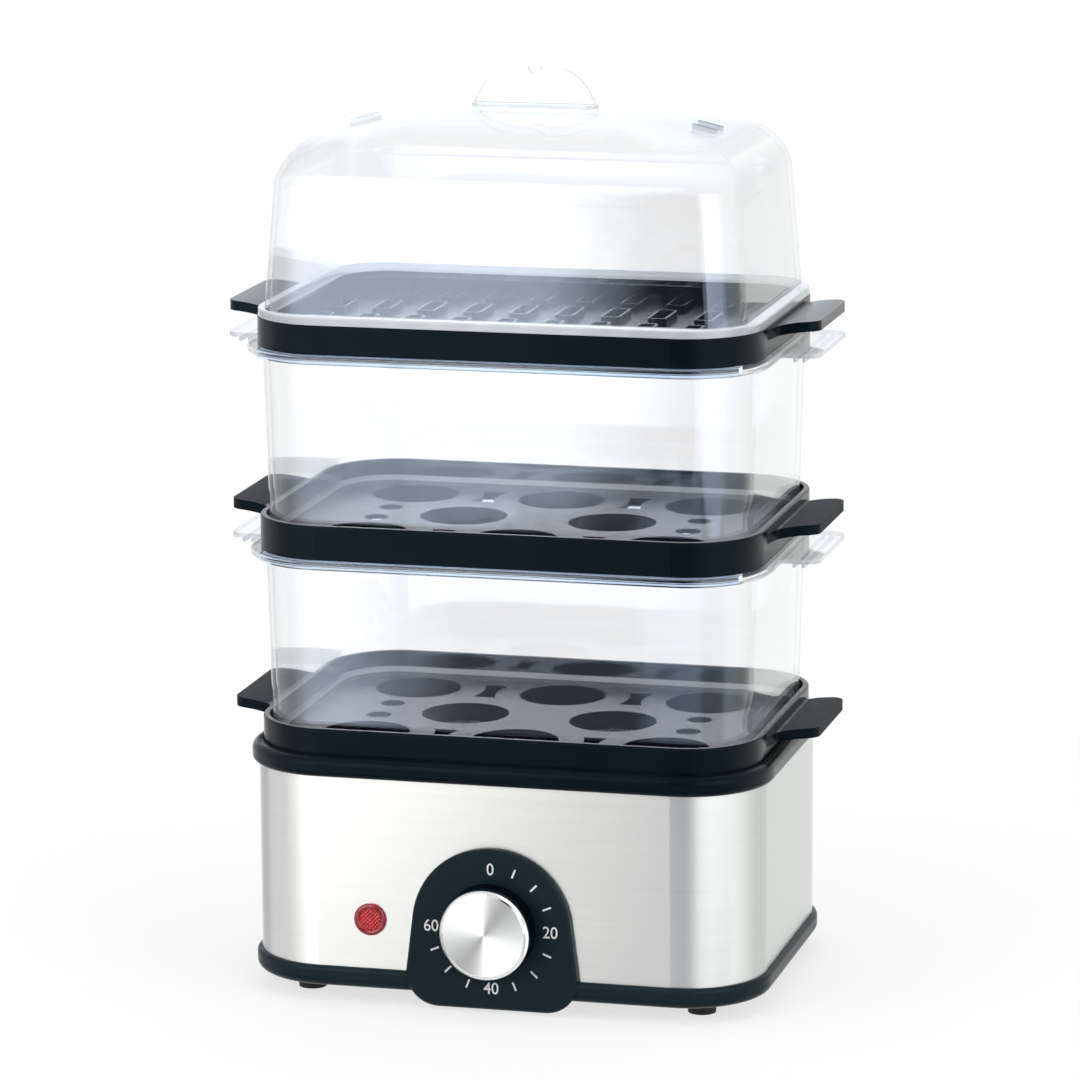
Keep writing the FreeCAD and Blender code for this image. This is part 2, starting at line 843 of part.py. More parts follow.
def timer_body():
    half = timer_width / 2
    tall = timer_tall / 2
    case = box((-half, inner_front, dial_height - tall), (half, timer_back, dial_height + tall))
    upright = [edge for edge in case.Edges if edge.Length > timer_deep - edge_match
               and edge.BoundBox.XLength < edge_match and edge.BoundBox.ZLength < edge_match]
    case = case.makeFillet(timer_corner, upright)
    bushing_front = panel_face - bushing_proud
    bushing = rod(bushing_radius, (0, bushing_front, dial_height), (0, inner_front, dial_height))
    post = rod(bell_post_radius, (0, timer_back, dial_height),
               (0, timer_back + bell_gap + bell_depth + bell_nut_height, dial_height))
    tabs = []
    for x, z in timer_tab_places():
        tabs.append(box((x - tab_width / 2, timer_back, z - tab_sheet / 2),
                        (x + tab_width / 2, timer_back + tab_length, z + tab_sheet / 2)))
    body = joined([case, bushing, post] + tabs)
    cuts = [rod(shaft_radius + running_gap, (0, bushing_front, dial_height),
                (0, inner_front + shaft_inside + pilot_spare, dial_height))]
    for x in (-timer_screw_spread, timer_screw_spread):
        cuts.append(rod(timer_screw_radius + thread_gap, (x, inner_front, dial_height),
                        (x, inner_front + timer_screw_bite + pilot_spare, dial_height)))
    return without(body, cuts)


def timer_bell():
    rim_y = timer_back + bell_gap
    back_y = rim_y + bell_depth
    cup = rod(bell_radius, (0, rim_y, dial_height), (0, back_y, dial_height))
    back_edge = [edge for edge in cup.Edges if edge.BoundBox.YMin > back_y - edge_match]
    cup = cup.makeFillet(bell_round, back_edge)
    hollow = rod(bell_radius - bell_sheet, (0, rim_y, dial_height), (0, back_y - bell_sheet, dial_height))
    inner_edge = [edge for edge in hollow.Edges if edge.BoundBox.YMin > back_y - bell_sheet - edge_match]
    hollow = hollow.makeFillet(bell_round - bell_sheet, inner_edge)
    bore = rod(bell_post_radius + snug_gap, (0, rim_y, dial_height), (0, back_y, dial_height))
    return without(cup, [hollow, bore])


def bell_nut():
    start = timer_back + bell_gap + bell_depth
    return tube(bell_nut_radius, bell_post_radius + thread_gap, (0, start, dial_height),
                (0, start + bell_nut_height, dial_height))


def timer_knob():
    grip = Part.Face(star_outline(knob_radius, knob_rib_depth, knob_ribs, knob_back))
    knob = grip.extrude(FRONT * knob_depth)
    recess_depth = knob_depth - knob_face
    recess = rod(knob_radius - knob_rib_depth - knob_wall, (0, knob_back, dial_height),
                 (0, knob_back - recess_depth, dial_height))
    hub_back = panel_face - bushing_proud - hub_gap
    hub = rod(hub_radius, (0, hub_back, dial_height), (0, knob_front, dial_height))
    bore = rod(shaft_radius, (0, hub_back, dial_height), (0, shaft_end(), dial_height))
    return knob.cut(recess).fuse(hub).cut(bore).removeSplitter()


def knob_cap():
    """Knurled edge and slope, a plain bevel, and a flat face with an engraved mark."""
    face = knob_front - cap_thickness
    bevel_back = face + cap_bevel_rise
    slope_front_depth = cap_rib_depth / 2
    edge = Part.Face(star_outline(cap_radius, cap_rib_depth, cap_ribs, knob_front)).extrude(FRONT * cap_edge)
    slope = Part.makeLoft([star_outline(cap_radius, cap_rib_depth, cap_ribs, knob_front - cap_edge),
                           star_outline(cap_shoulder_radius, slope_front_depth, cap_ribs, bevel_back)],
                          True, True)
    bevel = Part.makeCone(cap_shoulder_radius - slope_front_depth, cap_flat_radius, cap_bevel_rise,
                          V(0, bevel_back, dial_height), FRONT)
    mark = box((-cap_mark_width / 2, face, dial_height + cap_flat_radius - cap_mark_length),
               (cap_mark_width / 2, face + cap_mark_depth, dial_height + cap_flat_radius))
    return without(joined([edge, slope, bevel]), [mark])


# ---- lamp ----
def lamp_holder():
    ring_front = shell_front - lamp_ring_height
    back = shell_front + lamp_tube_length
    ring = rod(lamp_ring_radius, (-lamp_side, ring_front, dial_height),
               (-lamp_side, shell_front, dial_height))
    barrel = rod(lamp_tube_radius, (-lamp_side, shell_front, dial_height), (-lamp_side, back, dial_height))
    holder = ring.fuse(barrel)
    bore = rod(lamp_tube_radius - lamp_tube_wall, (-lamp_side, ring_front, dial_height),
               (-lamp_side, back - lamp_tube_wall, dial_height))
    seat = rod(lens_radius + thread_gap, (-lamp_side, ring_front, dial_height),
               (-lamp_side, shell_front - lamp_ring_floor, dial_height))
    return without(holder, [bore, seat])


def lamp_clip():
    return tube(lamp_clip_radius, lamp_tube_radius + thread_gap, (-lamp_side, inner_front, dial_height),
                (-lamp_side, inner_front + lamp_clip_sheet, dial_height))


def facet_ring(radius, y):
    points = []
    for index in range(lens_facets):
        angle = 2 * math.pi * index / lens_facets
        points.append(V(-lamp_side + radius * math.sin(angle), y, dial_height + radius * math.cos(angle)))
    return Part.makePolygon(points + points[:1])


def lamp_lens():
    rim_front = shell_front - lamp_ring_height
    stem_radius = lamp_tube_radius - lamp_tube_wall - thread_gap
    rim_back = shell_front - lamp_ring_floor
    rim = rod(lens_radius, (-lamp_side, rim_front, dial_height), (-lamp_side, rim_back, dial_height))
    stem = tube(stem_radius, stem_radius - lens_rim, (-lamp_side, rim_back, dial_height),
                (-lamp_side, rim_back + lens_stem, dial_height))
    girdle = facet_ring(lens_girdle_radius, rim_front - lens_girdle_rise)
    table = facet_ring(lens_table_radius, rim_front - lens_rise)
    outer = Part.makeLoft([facet_ring(lens_radius - lens_edge, rim_front), girdle], True, True)
    inner = Part.makeLoft([girdle, table], True, True)
    return joined([rim, stem, outer, inner])


def lamp_bulb():
    back = shell_front + lamp_tube_length - lamp_tube_wall
    bulb = rod(bulb_radius, (-lamp_side, back - bulb_length, dial_height), (-lamp_side, back, dial_height))
    tip = [edge for edge in bulb.Edges if edge.BoundBox.YMax < back - bulb_length + edge_match]
    return bulb.makeFillet(bulb_round, tip)


# ---- terminal block, gland and wiring ----
def pole_places():
    return [block_side + (index - 1) * pole_pitch for index in range(3)]


def terminal_block():
    half = block_width / 2
    front = block_back - block_depth / 2
    top = floor_top + block_height
    block = box((block_side - half, front, floor_top), (block_side + half, front + block_depth, top))
    wells = [rod(small_screw_head + snug_gap, (x, block_back, top - block_well_depth), (x, block_back, top))
             for x in pole_places()]
    return without(block, wells)


def terminal_screws():
    screws = []
    seat = floor_top + block_height - block_well_depth
    top = seat + small_screw_head_height
    for x in pole_places():
        screws.append(rod(small_screw_head, (x, block_back, seat), (x, block_back, top)))
    return Part.makeCompound(screws)


def cord_gland():
    back = shell_depth / 2
    flange = rod(gland_flange_radius, (gland_side, back, gland_height),
                 (gland_side, back + gland_flange_sheet, gland_height))
    snout_length = gland_reach - gland_flange_sheet
    snout = Part.makeCone(gland_snout_radius, gland_tip_radius, snout_length,
                          V(gland_side, back + gland_flange_sheet, gland_height), BACK)
    body = rod(gland_body_radius, (gland_side, back - gland_inside, gland_height),
               (gland_side, back, gland_height))
    gland = joined([flange, snout, body])
    bore = rod(gland_bore_radius, (gland_side, back - gland_inside, gland_height),
               (gland_side, back + gland_reach, gland_height))
    return gland.cut(bore)


def gland_nut():
    return tube(gland_nut_radius, gland_body_radius + thread_gap,
                (gland_side, inner_back - gland_nut_height, gland_height),
                (gland_side, inner_back, gland_height))


def lead(points):
    """Round wire along straight runs joined by tangent arcs.

    The way points of each lead are offsets, in millimetres, from the terminals at its two ends.
    """
    corners = [V(*point) for point in points]
    edges = []
    start = corners[0]
    for before, corner, after in zip(corners, corners[1:], corners[2:]):
        inward = (corner - before).normalize()
        outward = (after - corner).normalize()
        half_turn = inward.getAngle(outward) / 2
        trim = lead_bend_share * min((corner - before).Length, (after - corner).Length)
        radius = trim / math.tan(half_turn)
        first = corner - inward * trim
        last = corner + outward * trim
        bisector = (outward - inward).normalize()
        center = corner + bisector * math.hypot(radius, trim)
        middle = center - bisector * radius
        edges.append(Part.LineSegment(start, first).toShape())
        edges.append(Part.Arc(first, middle, last).toShape())
        start = last
    edges.append(Part.LineSegment(start, corners[-1]).toShape())
    path = Part.Wire(edges)
    profile = Part.Wire(Part.makeCircle(lead_radius, corners[0], corners[1] - corners[0]))
    return path.makePipeShell([profile], True, True)


def live_wires():
    block_front = block_back - block_depth / 2
    entry = floor_top + block_low_entry
    live = pole_places()[1]
    tab_end = timer_back + tab_length
    low_tab = dial_height - tab_up
    high_tab = dial_height + tab_up
    blade_end = spreader_low - thermostat_height - tab_length
    switched_x = thermostat_side + thermostat_tab_pitch / 2
    heater_x = thermostat_side - thermostat_tab_pitch / 2
    pin_end = -element_leg_end - pin_length
    lamp_back = shell_front + lamp_tube_length
    to_timer = lead([(live, block_front, entry), (live, block_front - 24, entry),
                     (live - 15, block_front - 54, entry + 1), (tab_side, tab_end + 20, low_tab),
                     (tab_side, tab_end, low_tab)])
    to_thermostat = lead([(-tab_side, tab_end, low_tab), (-tab_side, tab_end + 20, low_tab),
                          (0, tab_end + 38, low_tab + 9), (switched_x, 0, blade_end - 17),
                          (switched_x, 0, blade_end)])
    to_heater = lead([(heater_x, 0, blade_end), (heater_x, 0, blade_end - 12),
                      (heater_x - 25, -14, blade_end - 12), (pin_end, -element_half_gap, blade_end - 4),
                      (pin_end - 21, -element_half_gap, blade_end + 2),
                      (pin_end - 18, -element_half_gap, element_level),
                      (pin_end, -element_half_gap, element_level)])
    to_lamp = lead([(-lamp_side - lamp_lead_pitch / 2, lamp_back, dial_height),
                    (-lamp_side - lamp_lead_pitch / 2, lamp_back + 22, dial_height),
                    (-lamp_side + 16, lamp_back + 36, dial_height + 9),
                    (-tab_side, tab_end + 22, high_tab), (-tab_side, tab_end, high_tab)])
    return Part.makeCompound([to_timer, to_thermostat, to_heater, to_lamp])


def neutral_wires():
    block_front = block_back - block_depth / 2
    low_entry = floor_top + block_low_entry
    high_entry = floor_top + block_high_entry
    neutral = pole_places()[0]
    pin_end = -element_leg_end - pin_length
    lamp_back = shell_front + lamp_tube_length
    fuse_end = -fuse_side - fuse_length / 2
    fuse_start = -fuse_side + fuse_length / 2
    to_pin = lead([(fuse_end, 0, fuse_level), (pin_end - 10, 0, fuse_level), (pin_end - 22, 12, fuse_level),
                   (pin_end - 16, element_half_gap, element_level),
                   (pin_end, element_half_gap, element_level)])
    to_fuse = lead([(neutral, block_front, high_entry), (neutral, block_front - 22, high_entry),
                    (neutral - 24, block_front - 26, high_entry + 8),
                    (8, block_front - 30, high_entry + 26), (fuse_start + 13, 0, fuse_level - 19),
                    (fuse_start + 13, 0, fuse_level), (fuse_start, 0, fuse_level)])
    to_lamp = lead([(neutral, block_front, low_entry), (neutral, block_front - 20, low_entry),
                    (neutral - 44, block_front - 24, low_entry + 1), (-lamp_side + 24, 0, low_entry + 6),
                    (-lamp_side + lamp_lead_pitch / 2, lamp_back + 26, dial_height),
                    (-lamp_side + lamp_lead_pitch / 2, lamp_back, dial_height)])
    return Part.makeCompound([to_pin, to_fuse, to_lamp])


def earth_wire():
    block_front = block_back - block_depth / 2
    entry = floor_top + block_low_entry
    earth = pole_places()[2]
    stud_end = dish_low - stud_length
    return lead([(earth, block_front, entry), (earth, block_front - 24, entry),
                 (earth + 5, block_front - 54, entry + 9),
                 (earth_stud_side, -earth_stud_front, stud_end - 24),
                 (earth_stud_side, -earth_stud_front, stud_end)])


# ---- trays ----
def grip_plan(root_x, low, high):
    """Side grip seen from above: wide at its root, narrower at its tip, with round corners."""
    tip_x = root_x + grip_reach
    root = grip_root_length / 2
    tip = grip_tip_length / 2
    inside = root_x - tray_wall / 2
    neck = root_x + grip_reach * grip_neck_share
    shoulder = tip + grip_neck_flare
    plan = polygon_prism([(inside, -root, low), (root_x, -root, low), (neck, -shoulder, low),
                          (tip_x, -tip, low), (tip_x, tip, low), (neck, shoulder, low),
                          (root_x, root, low), (inside, root, low)], V(0, 0, high - low))
    upright = [edge for edge in plan.Edges if edge.BoundBox.ZLength > high - low - edge_match]
    neck_edges = [edge for edge in upright if abs(edge.BoundBox.XMin - neck) < edge_match]
    plan = plan.makeFillet(grip_corner / 3, neck_edges)
    tip_edges = [edge for edge in plan.Edges
                 if edge.BoundBox.ZLength > high - low - edge_match
                 and edge.BoundBox.XMin > tip_x - edge_match and edge.BoundBox.YLength < edge_match]
    return plan.makeFillet(grip_corner, tip_edges)


def grip_profile(root_x, tip_level):
    """Side view of the grip: it rises from its root and levels out at its tip."""
    tip_x = root_x + grip_reach
    inside = root_x - tray_wall / 2
    root_level = tip_level - grip_root_drop
    heel_level = root_level - grip_heel_drop
    bend_x = root_x + grip_reach * grip_bend_share
    bend_level = tip_level - grip_bend_drop

    def curve(drop):
        spline = Part.BSplineCurve()
        spline.interpolate([V(inside, 0, heel_level - drop), V(bend_x, 0, bend_level - drop),
                            V(tip_x, 0, tip_level - drop)])
        return spline.toShape()

    top = curve(0)
    low = curve(grip_thickness)
    tip = Part.LineSegment(V(tip_x, 0, tip_level), V(tip_x, 0, tip_level - grip_thickness)).toShape()
    root = Part.LineSegment(V(inside, 0, heel_level - grip_thickness), V(inside, 0, heel_level)).toShape()
    profile = Part.Face(Part.Wire([top, tip, low, root]))
    profile.translate(V(0, -grip_root_length / 2, 0))
    return profile.extrude(V(0, grip_root_length, 0))


def tray_grips(tip_level):
    root_x = tray_width / 2
    low = tip_level - grip_root_drop - grip_heel_drop - grip_thickness - cut_margin
    plan = grip_plan(root_x, low, tip_level + cut_margin)
    grip = plan.common(grip_profile(root_x, tip_level))
    return mirrored_pair(grip)


def tray_shell(level, height, plate_top):
    """Skirt and plate shared by the egg trays and the steam tray."""
    skirt = rounded_block(*tray_size, level, level + height)
    skirt = skirt.makeFillet(tray_round, level_edges(skirt, level + height))
    above = rounded_block(*tray_inner, plate_top, level + height)
    below = rounded_block(*tray_inner, level, plate_top - plate_thickness)
    return without(skirt, [above, below])


def egg_places():
    places = []
    for column in (-2, 0, 2):
        for row in (-1, 1):
            places.append((column * egg_column_pitch, row * egg_row_pitch))
    for column in (-1, 1):
        places.append((column * egg_column_pitch, 0))
    return places


def waist_slot(center_x, center_y, low, high):
    """Slot between two egg holes: its long sides bow inwards round them."""
    half_length = waist_slot_length / 2
    half_width = waist_slot_width / 2
    block = box((center_x - half_width, center_y - half_length, low),
                (center_x + half_width, center_y + half_length, high))
    rounds = [rod(egg_hole_radius + waist_rib, (center_x + side * egg_column_pitch, center_y, low),
                  (center_x + side * egg_column_pitch, center_y, high)) for side in (-1, 1)]
    return without(block, rounds)


def egg_tray(level):
    plate_top = level + plate_top_of_egg_tray
    plate_low = plate_top - plate_thickness
    collar_low = plate_low - collar_depth
    tray = tray_shell(level, egg_tray_height, plate_top)
    collars = [rod(egg_hole_radius + collar_wall, (x, y, collar_low), (x, y, plate_low))
               for x, y in egg_places()]
    tray = joined([tray] + collars + tray_grips(level + egg_tray_height + egg_grip_rise))
    cuts = [rod(egg_hole_radius, (x, y, collar_low), (x, y, plate_top)) for x, y in egg_places()]
    for x, y in corner_places(egg_column_pitch, egg_row_pitch):
        cuts.append(waist_slot(x, y, plate_low, plate_top))
    for x, y in corner_places(drain_hole_side, drain_hole_front):
        cuts.append(rod(drain_hole_radius, (x, y, plate_low), (x, y, plate_top)))
    return without(tray, cuts)


def steam_slot_places():
    places = []
    for row, count in ((-1.5, short_row_slots), (-0.5, long_row_slots),
                       (0.5, long_row_slots), (1.5, short_row_slots)):
        for index in range(count):
            places.append(((index - (count - 1) / 2) * slot_pitch_side, row * slot_pitch_front))
    return places


def steam_tray():
    level = steam_tray_level
    rim_level = level + steam_tray_height
    plate_top = rim_level - plate_drop
    plate_low = plate_top - plate_thickness
    tray = tray_shell(level, steam_tray_height, plate_top)
    rims = []
    slots = []
    for x, y in steam_slot_places():
        rim = rounded_block(slot_rim_width, slot_rim_length, slot_rim_corner,
                            plate_low, plate_top + slot_rim_height)
        slot = rounded_block(slot_rim_width - 2 * slot_rim_wall, slot_rim_length - 2 * slot_rim_wall,
                             slot_rim_corner - slot_rim_wall, plate_low, plate_top + slot_rim_height)
        rims.append(moved(rim, x, y, 0))
        slots.append(moved(slot, x, y, 0))
    tray = joined([tray] + rims + tray_grips(rim_level + steam_grip_rise))
    return without(tray, slots)


# ---- clear tiers ----
def clear_grip(lip_top):
    edge_x = tray_width / 2 + lip_overhang
    tip_x = edge_x + clear_grip_reach
    half = clear_grip_length / 2
    low = lip_top - clear_grip_sheet
    plate = box((edge_x - clear_grip_bury, -half, low), (tip_x, half, lip_top))
    tips = [edge for edge in plate.Edges
            if edge.BoundBox.XMin > tip_x - edge_match
            and edge.BoundBox.ZLength > clear_grip_sheet - edge_match]
    plate = plate.makeFillet(grip_corner, tips)
    ribs = []
    for share in clear_grip_rib_shares:
        x = edge_x + share * clear_grip_reach
        ribs.append(box((x, -half, low - clear_grip_rib), (x + clear_grip_rib_wall, half, low)))
    return joined([plate] + ribs)


def tier_wall_piece(level):
    """Bottomless clear container: it stands on one tray and its lip carries the next."""
    low_width, low_depth, inner_corner = grown(tray_inner, -tier_gap)
    low_size = (low_width, low_depth, inner_corner - tier_corner_cut)
    high_size = grown(low_size, tier_flare)
    seat = level + tier_height
    lip_top = seat + lip_height
    wall = tapered_block(low_size, high_size, level, seat)
    hollow = tapered_block(grown(low_size, -tier_wall), grown(high_size, -tier_wall), level, seat)
    cup_size = grown(tray_size, cup_gap)
    shelf_outer = grown(cup_size, lip_wall)
    shelf_disc = rounded_block(*shelf_outer, seat - shelf_sheet, lip_top)
    lip = rounded_block(*grown(tray_size, lip_overhang), lip_top - lip_height, lip_top)
    lip = lip.makeFillet(lip_round, level_edges(lip, lip_top))
    cup = rounded_block(*cup_size, seat, lip_top)
    solid = joined([wall, shelf_disc, lip] + mirrored_pair(clear_grip(lip_top)))
    return without(solid, [hollow, cup])


# ---- lid ----
def wall_section(level, inset, shrink):
    """Outline of the drafted wall at a level; inset moves it in from there, shrink makes the inner skin."""
    taper = lid_draft * (level - lid_wall_low)
    width = lid_width - 2 * (taper + inset + shrink)
    depth = lid_depth - 2 * (taper + inset + shrink)
    radius = (1 - inset / dome_half_depth) * (lid_corner + corner_growth * inset)
    return rounded_outline(width, depth, radius - shrink, level)


def dome_section(inset, shrink):
    """Outline of the dome at one inset from the wall's line."""
    rise = dome_height(crown_flat_inset) - lid_wall_top
    level = lid_wall_top + (dome_height(inset) - lid_wall_top) * (1 - shrink / rise)
    return wall_section(level, inset, shrink)


def dome_height(inset):
    """Height of the dome's skin: a tight shoulder on top of a long, shallow crown."""
    shoulder_share = min(inset / shoulder_width, 1)
    shoulder = (1 - (1 - shoulder_share) ** shoulder_power) ** (1 / shoulder_power)
    crown = 1 - (1 - inset / dome_half_depth) ** crown_power
    return lid_wall_top + shoulder_height * shoulder + crown_height * crown


def dome_solid(shrink):
    """Wall and dome of the lid's outer skin, or of the space inside it when shrink is the sheet."""
    sections = [wall_section(lid_wall_top - dome_lead, 0, shrink)]
    wall = Part.makeLoft([wall_section(lid_wall_low, 0, shrink), sections[0]], True, True)
    sections.append(dome_section(0, shrink))
    for step in range(1, shoulder_steps + 1):
        inset = shoulder_width * (1 - math.cos(math.pi / 2 * step / shoulder_steps))
        sections.append(dome_section(inset, shrink))
    for step in range(1, crown_steps + 1):
        inset = shoulder_width + (crown_flat_inset - shoulder_width) * step / crown_steps
        sections.append(dome_section(inset, shrink))
    return wall.fuse(Part.makeLoft(sections, True, False))


def lid():
    flange_size = grown(tray_size, -lid_flange_inset)
    flange = rounded_block(*flange_size, lid_level, lid_wall_low)
    flange = flange.makeFillet(lid_flange_round, level_edges(flange, lid_wall_low))
    lip_size = grown(tray_inner, -lift_gap)
    lip = rounded_block(*lip_size, lid_level - locating_lip, lid_level)
    lip_hole = rounded_block(*grown(lip_size, -locating_wall), lid_level - locating_lip, lid_level)
    mouth = rounded_block(lid_width - 2 * lid_sheet, lid_depth - 2 * lid_sheet, lid_corner - lid_sheet,
                          lid_level, lid_wall_low)
    solid = joined([flange, lip, dome_solid(0)])
    cuts = [dome_solid(lid_sheet), lip_hole, mouth]
    for side in (-1, 1):
        for index in range(vent_count):
            y = (index - (vent_count - 1) / 2) * vent_pitch
            slot = rounded_block(vent_length, vent_width, vent_width / 2 - slot_end_flat,
                                 lid_wall_top, lid_top + cut_margin)
            cuts.append(moved(slot, side * vent_side, y, 0))
    for side in (-1, 1):
        x = side * handle_prong_spread
        half = handle_prong_width / 2 + snug_gap
        thick = handle_sheet / 2 + snug_gap
        cuts.append(box((x - half, -thick, lid_wall_top), (x + half, thick, lid_top + cut_margin)))
    return without(solid, cuts)


def lid_handle():
    """Half-moon grip with a finger notch, a foot plate and two prongs through the lid."""
    foot_low = dome_height(crown_flat_inset)
    foot_top = foot_low + handle_foot_sheet
    peak = lid_top + handle_rise
    half_moon = []
    for across, up in handle_profile:
        half_moon.append((across * handle_width / 2, foot_top + up * (peak - foot_top)))
    left_side = [V(-x, 0, z) for x, z in half_moon]
    right_side = [V(x, 0, z) for x, z in reversed(half_moon)]
    curve = Part.BSplineCurve()
    curve.interpolate(left_side + right_side[1:])
    face = Part.Face(Part.Wire([curve.toShape(), Part.LineSegment(right_side[-1], left_side[0]).toShape()]))
    face.translate(V(0, -handle_sheet / 2, 0))
    moon = face.extrude(V(0, handle_sheet, 0))
    notch = rod(handle_notch_radius, (0, -handle_sheet, peak), (0, handle_sheet, peak))
    foot = rounded_block(handle_foot_width, handle_foot_depth, handle_foot_corner, foot_low, foot_top)
    prongs = []
    for side in (-1, 1):
        x = side * handle_prong_spread
        half = handle_prong_width / 2
        prongs.append(box((x - half, -handle_sheet / 2, foot_low - handle_prong_length),
                          (x + half, handle_sheet / 2, foot_low)))
    return joined([moon.cut(notch), foot] + prongs)


pieces = {
    "steel_shell": steel_shell,
    "base_cover": base_cover,
    "feet": feet,
    "cover_screws": cover_screws,
    "top_bezel": top_bezel,
    "heating_plate": heating_plate,
    "plate_gasket": plate_gasket,
    "heat_spreader": heat_spreader,
    "heating_element": heating_element,
    "element_pins": element_pins,
    "pin_insulators": pin_insulators,
    "plate_studs": plate_studs,
    "plate_bracket": plate_bracket,
    "plate_nuts": plate_nuts,
    "thermostat": thermostat,
    "thermostat_screws": thermostat_screws,
    "thermal_fuse": thermal_fuse,
    "fuse_clip": fuse_clip,
    "fuse_screws": fuse_screws,
    "dial_panel": dial_panel,
    "timer_screws": timer_screws,
    "timer_shaft": timer_shaft,
    "timer_body": timer_body,
    "timer_bell": timer_bell,
    "bell_nut": bell_nut,
    "timer_knob": timer_knob,
    "knob_cap": knob_cap,
    "lamp_holder": lamp_holder,
    "lamp_clip": lamp_clip,
    "lamp_lens": lamp_lens,
    "lamp_bulb": lamp_bulb,
    "terminal_block": terminal_block,
    "terminal_screws": terminal_screws,
    "cord_gland": cord_gland,
    "gland_nut": gland_nut,
    "live_wires": live_wires,
    "neutral_wires": neutral_wires,
    "earth_wire": earth_wire,
    "steam_tray": steam_tray,
    "lid": lid,
    "lid_handle": lid_handle,
}
for name, make in pieces.items():
    make().exportStep("parts/" + name + ".step")

for name, level in (("lower_egg_tray", lower_tray_level), ("upper_egg_tray", upper_tray_level)):
    egg_tray(level).exportStep("parts/" + name + ".step")

for name, level in (("lower_tier_wall", lower_wall_level), ("upper_tier_wall", upper_wall_level)):
    tier_wall_piece(level).exportStep("parts/" + name + ".step")
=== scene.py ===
import math

import bmesh
import bpy
from mathutils import Matrix, Vector


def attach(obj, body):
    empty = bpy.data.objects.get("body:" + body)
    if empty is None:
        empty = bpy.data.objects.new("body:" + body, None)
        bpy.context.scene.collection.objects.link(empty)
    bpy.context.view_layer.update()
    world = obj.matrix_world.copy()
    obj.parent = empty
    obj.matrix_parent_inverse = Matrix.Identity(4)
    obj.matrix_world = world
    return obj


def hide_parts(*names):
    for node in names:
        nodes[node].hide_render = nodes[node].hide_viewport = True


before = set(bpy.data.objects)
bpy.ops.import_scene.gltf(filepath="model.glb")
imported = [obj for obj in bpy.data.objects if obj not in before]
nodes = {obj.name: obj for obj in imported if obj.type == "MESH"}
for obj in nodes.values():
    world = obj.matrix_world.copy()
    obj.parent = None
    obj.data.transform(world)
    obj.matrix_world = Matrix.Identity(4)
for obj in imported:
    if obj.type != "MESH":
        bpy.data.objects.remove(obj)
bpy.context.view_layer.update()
mm = 0.001

# ---- places in millimetres, as in the part's source ----
dial_height = 37.2
panel_face = -83.4
shell_front = -80.0
lamp_side = -53.7
cap_flat_radius = 17.6
# What is further out sideways than this is a handle of a tray or of a clear wall.
handles_from = 113.0

# ---- printed dial, in millimetres ----
# The ticks' film stands this proud and starts this deep in the panel. The numerals' film is a little
# thicker, and its middle is half as proud as the ticks.
print_thickness = 0.04
print_sunk = 0.01
numeral_thickness = 0.05
numeral_height = 5.2
numeral_radius = 26.0
tick_start = 24.6
tick_end = 28.55
tick_width = 0.8
# Ticks stand 22.5 degrees apart, and every fourth place round the dial holds a numeral instead.
tick_step = 22.5
dial_steps = 12
steps_per_numeral = 4
# The numerals are this much narrower than the lettering's own shape, and their strokes are widened by
# this share of its nominal size.
numeral_squeeze = 0.92
numeral_bold = 0.006
# Points of the lettering nearer than this, in metres, are one.
same_point = 1e-7

# ---- pilot lamp lens, in millimetres ----
lens_radius = 6.9
lens_ring_inner = 4.6
lens_ring_lap = 0.25
lens_ring_mouth = 0.4
lens_ring_low = 0.5
lens_ring_rise = 1.0
lens_ring_sunk = 0.3
lens_ring_arc_steps = 12
lens_ring_segments = 96
prism_pitch = 1.2
prism_height = 0.18
prism_cells = 6
prism_proud = 0.7
prism_sheet = 0.5
# Share of a prism that may reach in under the ring.
prism_overrun = 0.4

# ---- clear plastic ----
# Heights in millimetres where the clear plastic is special, as (middle, half): the lips, whose plastic
# is thick; the two wall feet, the lid's flange and the handle's foot, which get a painted milky white
# highlight; the vents' cuts, whose upright sides get painted grey-blue shade; and the lid's handle,
# whose narrow sides get painted grey-blue shade.
lip_zones = ((189.4, 2.3), (277.1, 2.3))
# Bands that get a painted milky white highlight: the two wall feet, the lid's flange and the handle's
# foot.
highlight_band_zones = ((110.5, 1.1), (198.2, 1.1), (293.2, 1.8), (376.6, 0.65))
vent_zones = ((369.0, 2.6),)
handle_zones = ((385.2, 7.8),)
# The lips look thick only out to here sideways, which leaves the clear grips plain.
lips_to = 104.0
# Shares of light that a clear wall mirrors, seen square on and edge-on.
square_mirror = 0.06
edge_mirror = 0.9
# How much these looks cover the plain clear wall, from 0 to 1: the painted grey-blue shade on faces
# seen edge-on, the painted white highlight on the milky bands, and the painted grey-blue shade on the
# grips' and the handle's narrow sides.
painted_edge_shade_share = 0.5
painted_highlight_share = 0.6
painted_grip_shade_share = 0.35
painted_handle_shade_share = 0.5
# A face is upright where its normal points up or down by less than this, and turned sideways where
# it points forward or back by less than this.
lean_limit = 0.3

# ---- finishes ----
# Pattern sizes in millimetres.
flow_cloud = 28
plate_drift = 12
scratch_length = 60
scratch_height = 0.25
band_length = 160
band_height = 3
lathe_ring = 0.3
moulding_wave = 45
haze_patch = 9
lens_cloud = 2.2
glass_ripple = 3
paper_fibre = 0.8
fine_groove = 0.02
# Most of a noise pattern lies between these two values.
noise_low = 0.3
noise_high = 0.7
# The brushed sheet's marks are two patterns added up, so they reach higher.
marks_low = 0.45
marks_high = 0.9
# A quarter turn, which lays the anisotropic smear across the grooves.
across_grooves = 0.25
handle_roughness = 0.6
polypropylene_ior = 1.49
polycarbonate_ior = 1.58
lamp_glass_ior = 1.5


def linear(hex_colour):
    """An sRGB hex colour as linear red, green, blue and full alpha."""
    values = [int(hex_colour[start:start + 2], 16) / 255 for start in (1, 3, 5)]
    return [v / 12.92 if v <= 0.04045 else ((v + 0.055) / 1.055) ** 2.4 for v in values] + [1.0]


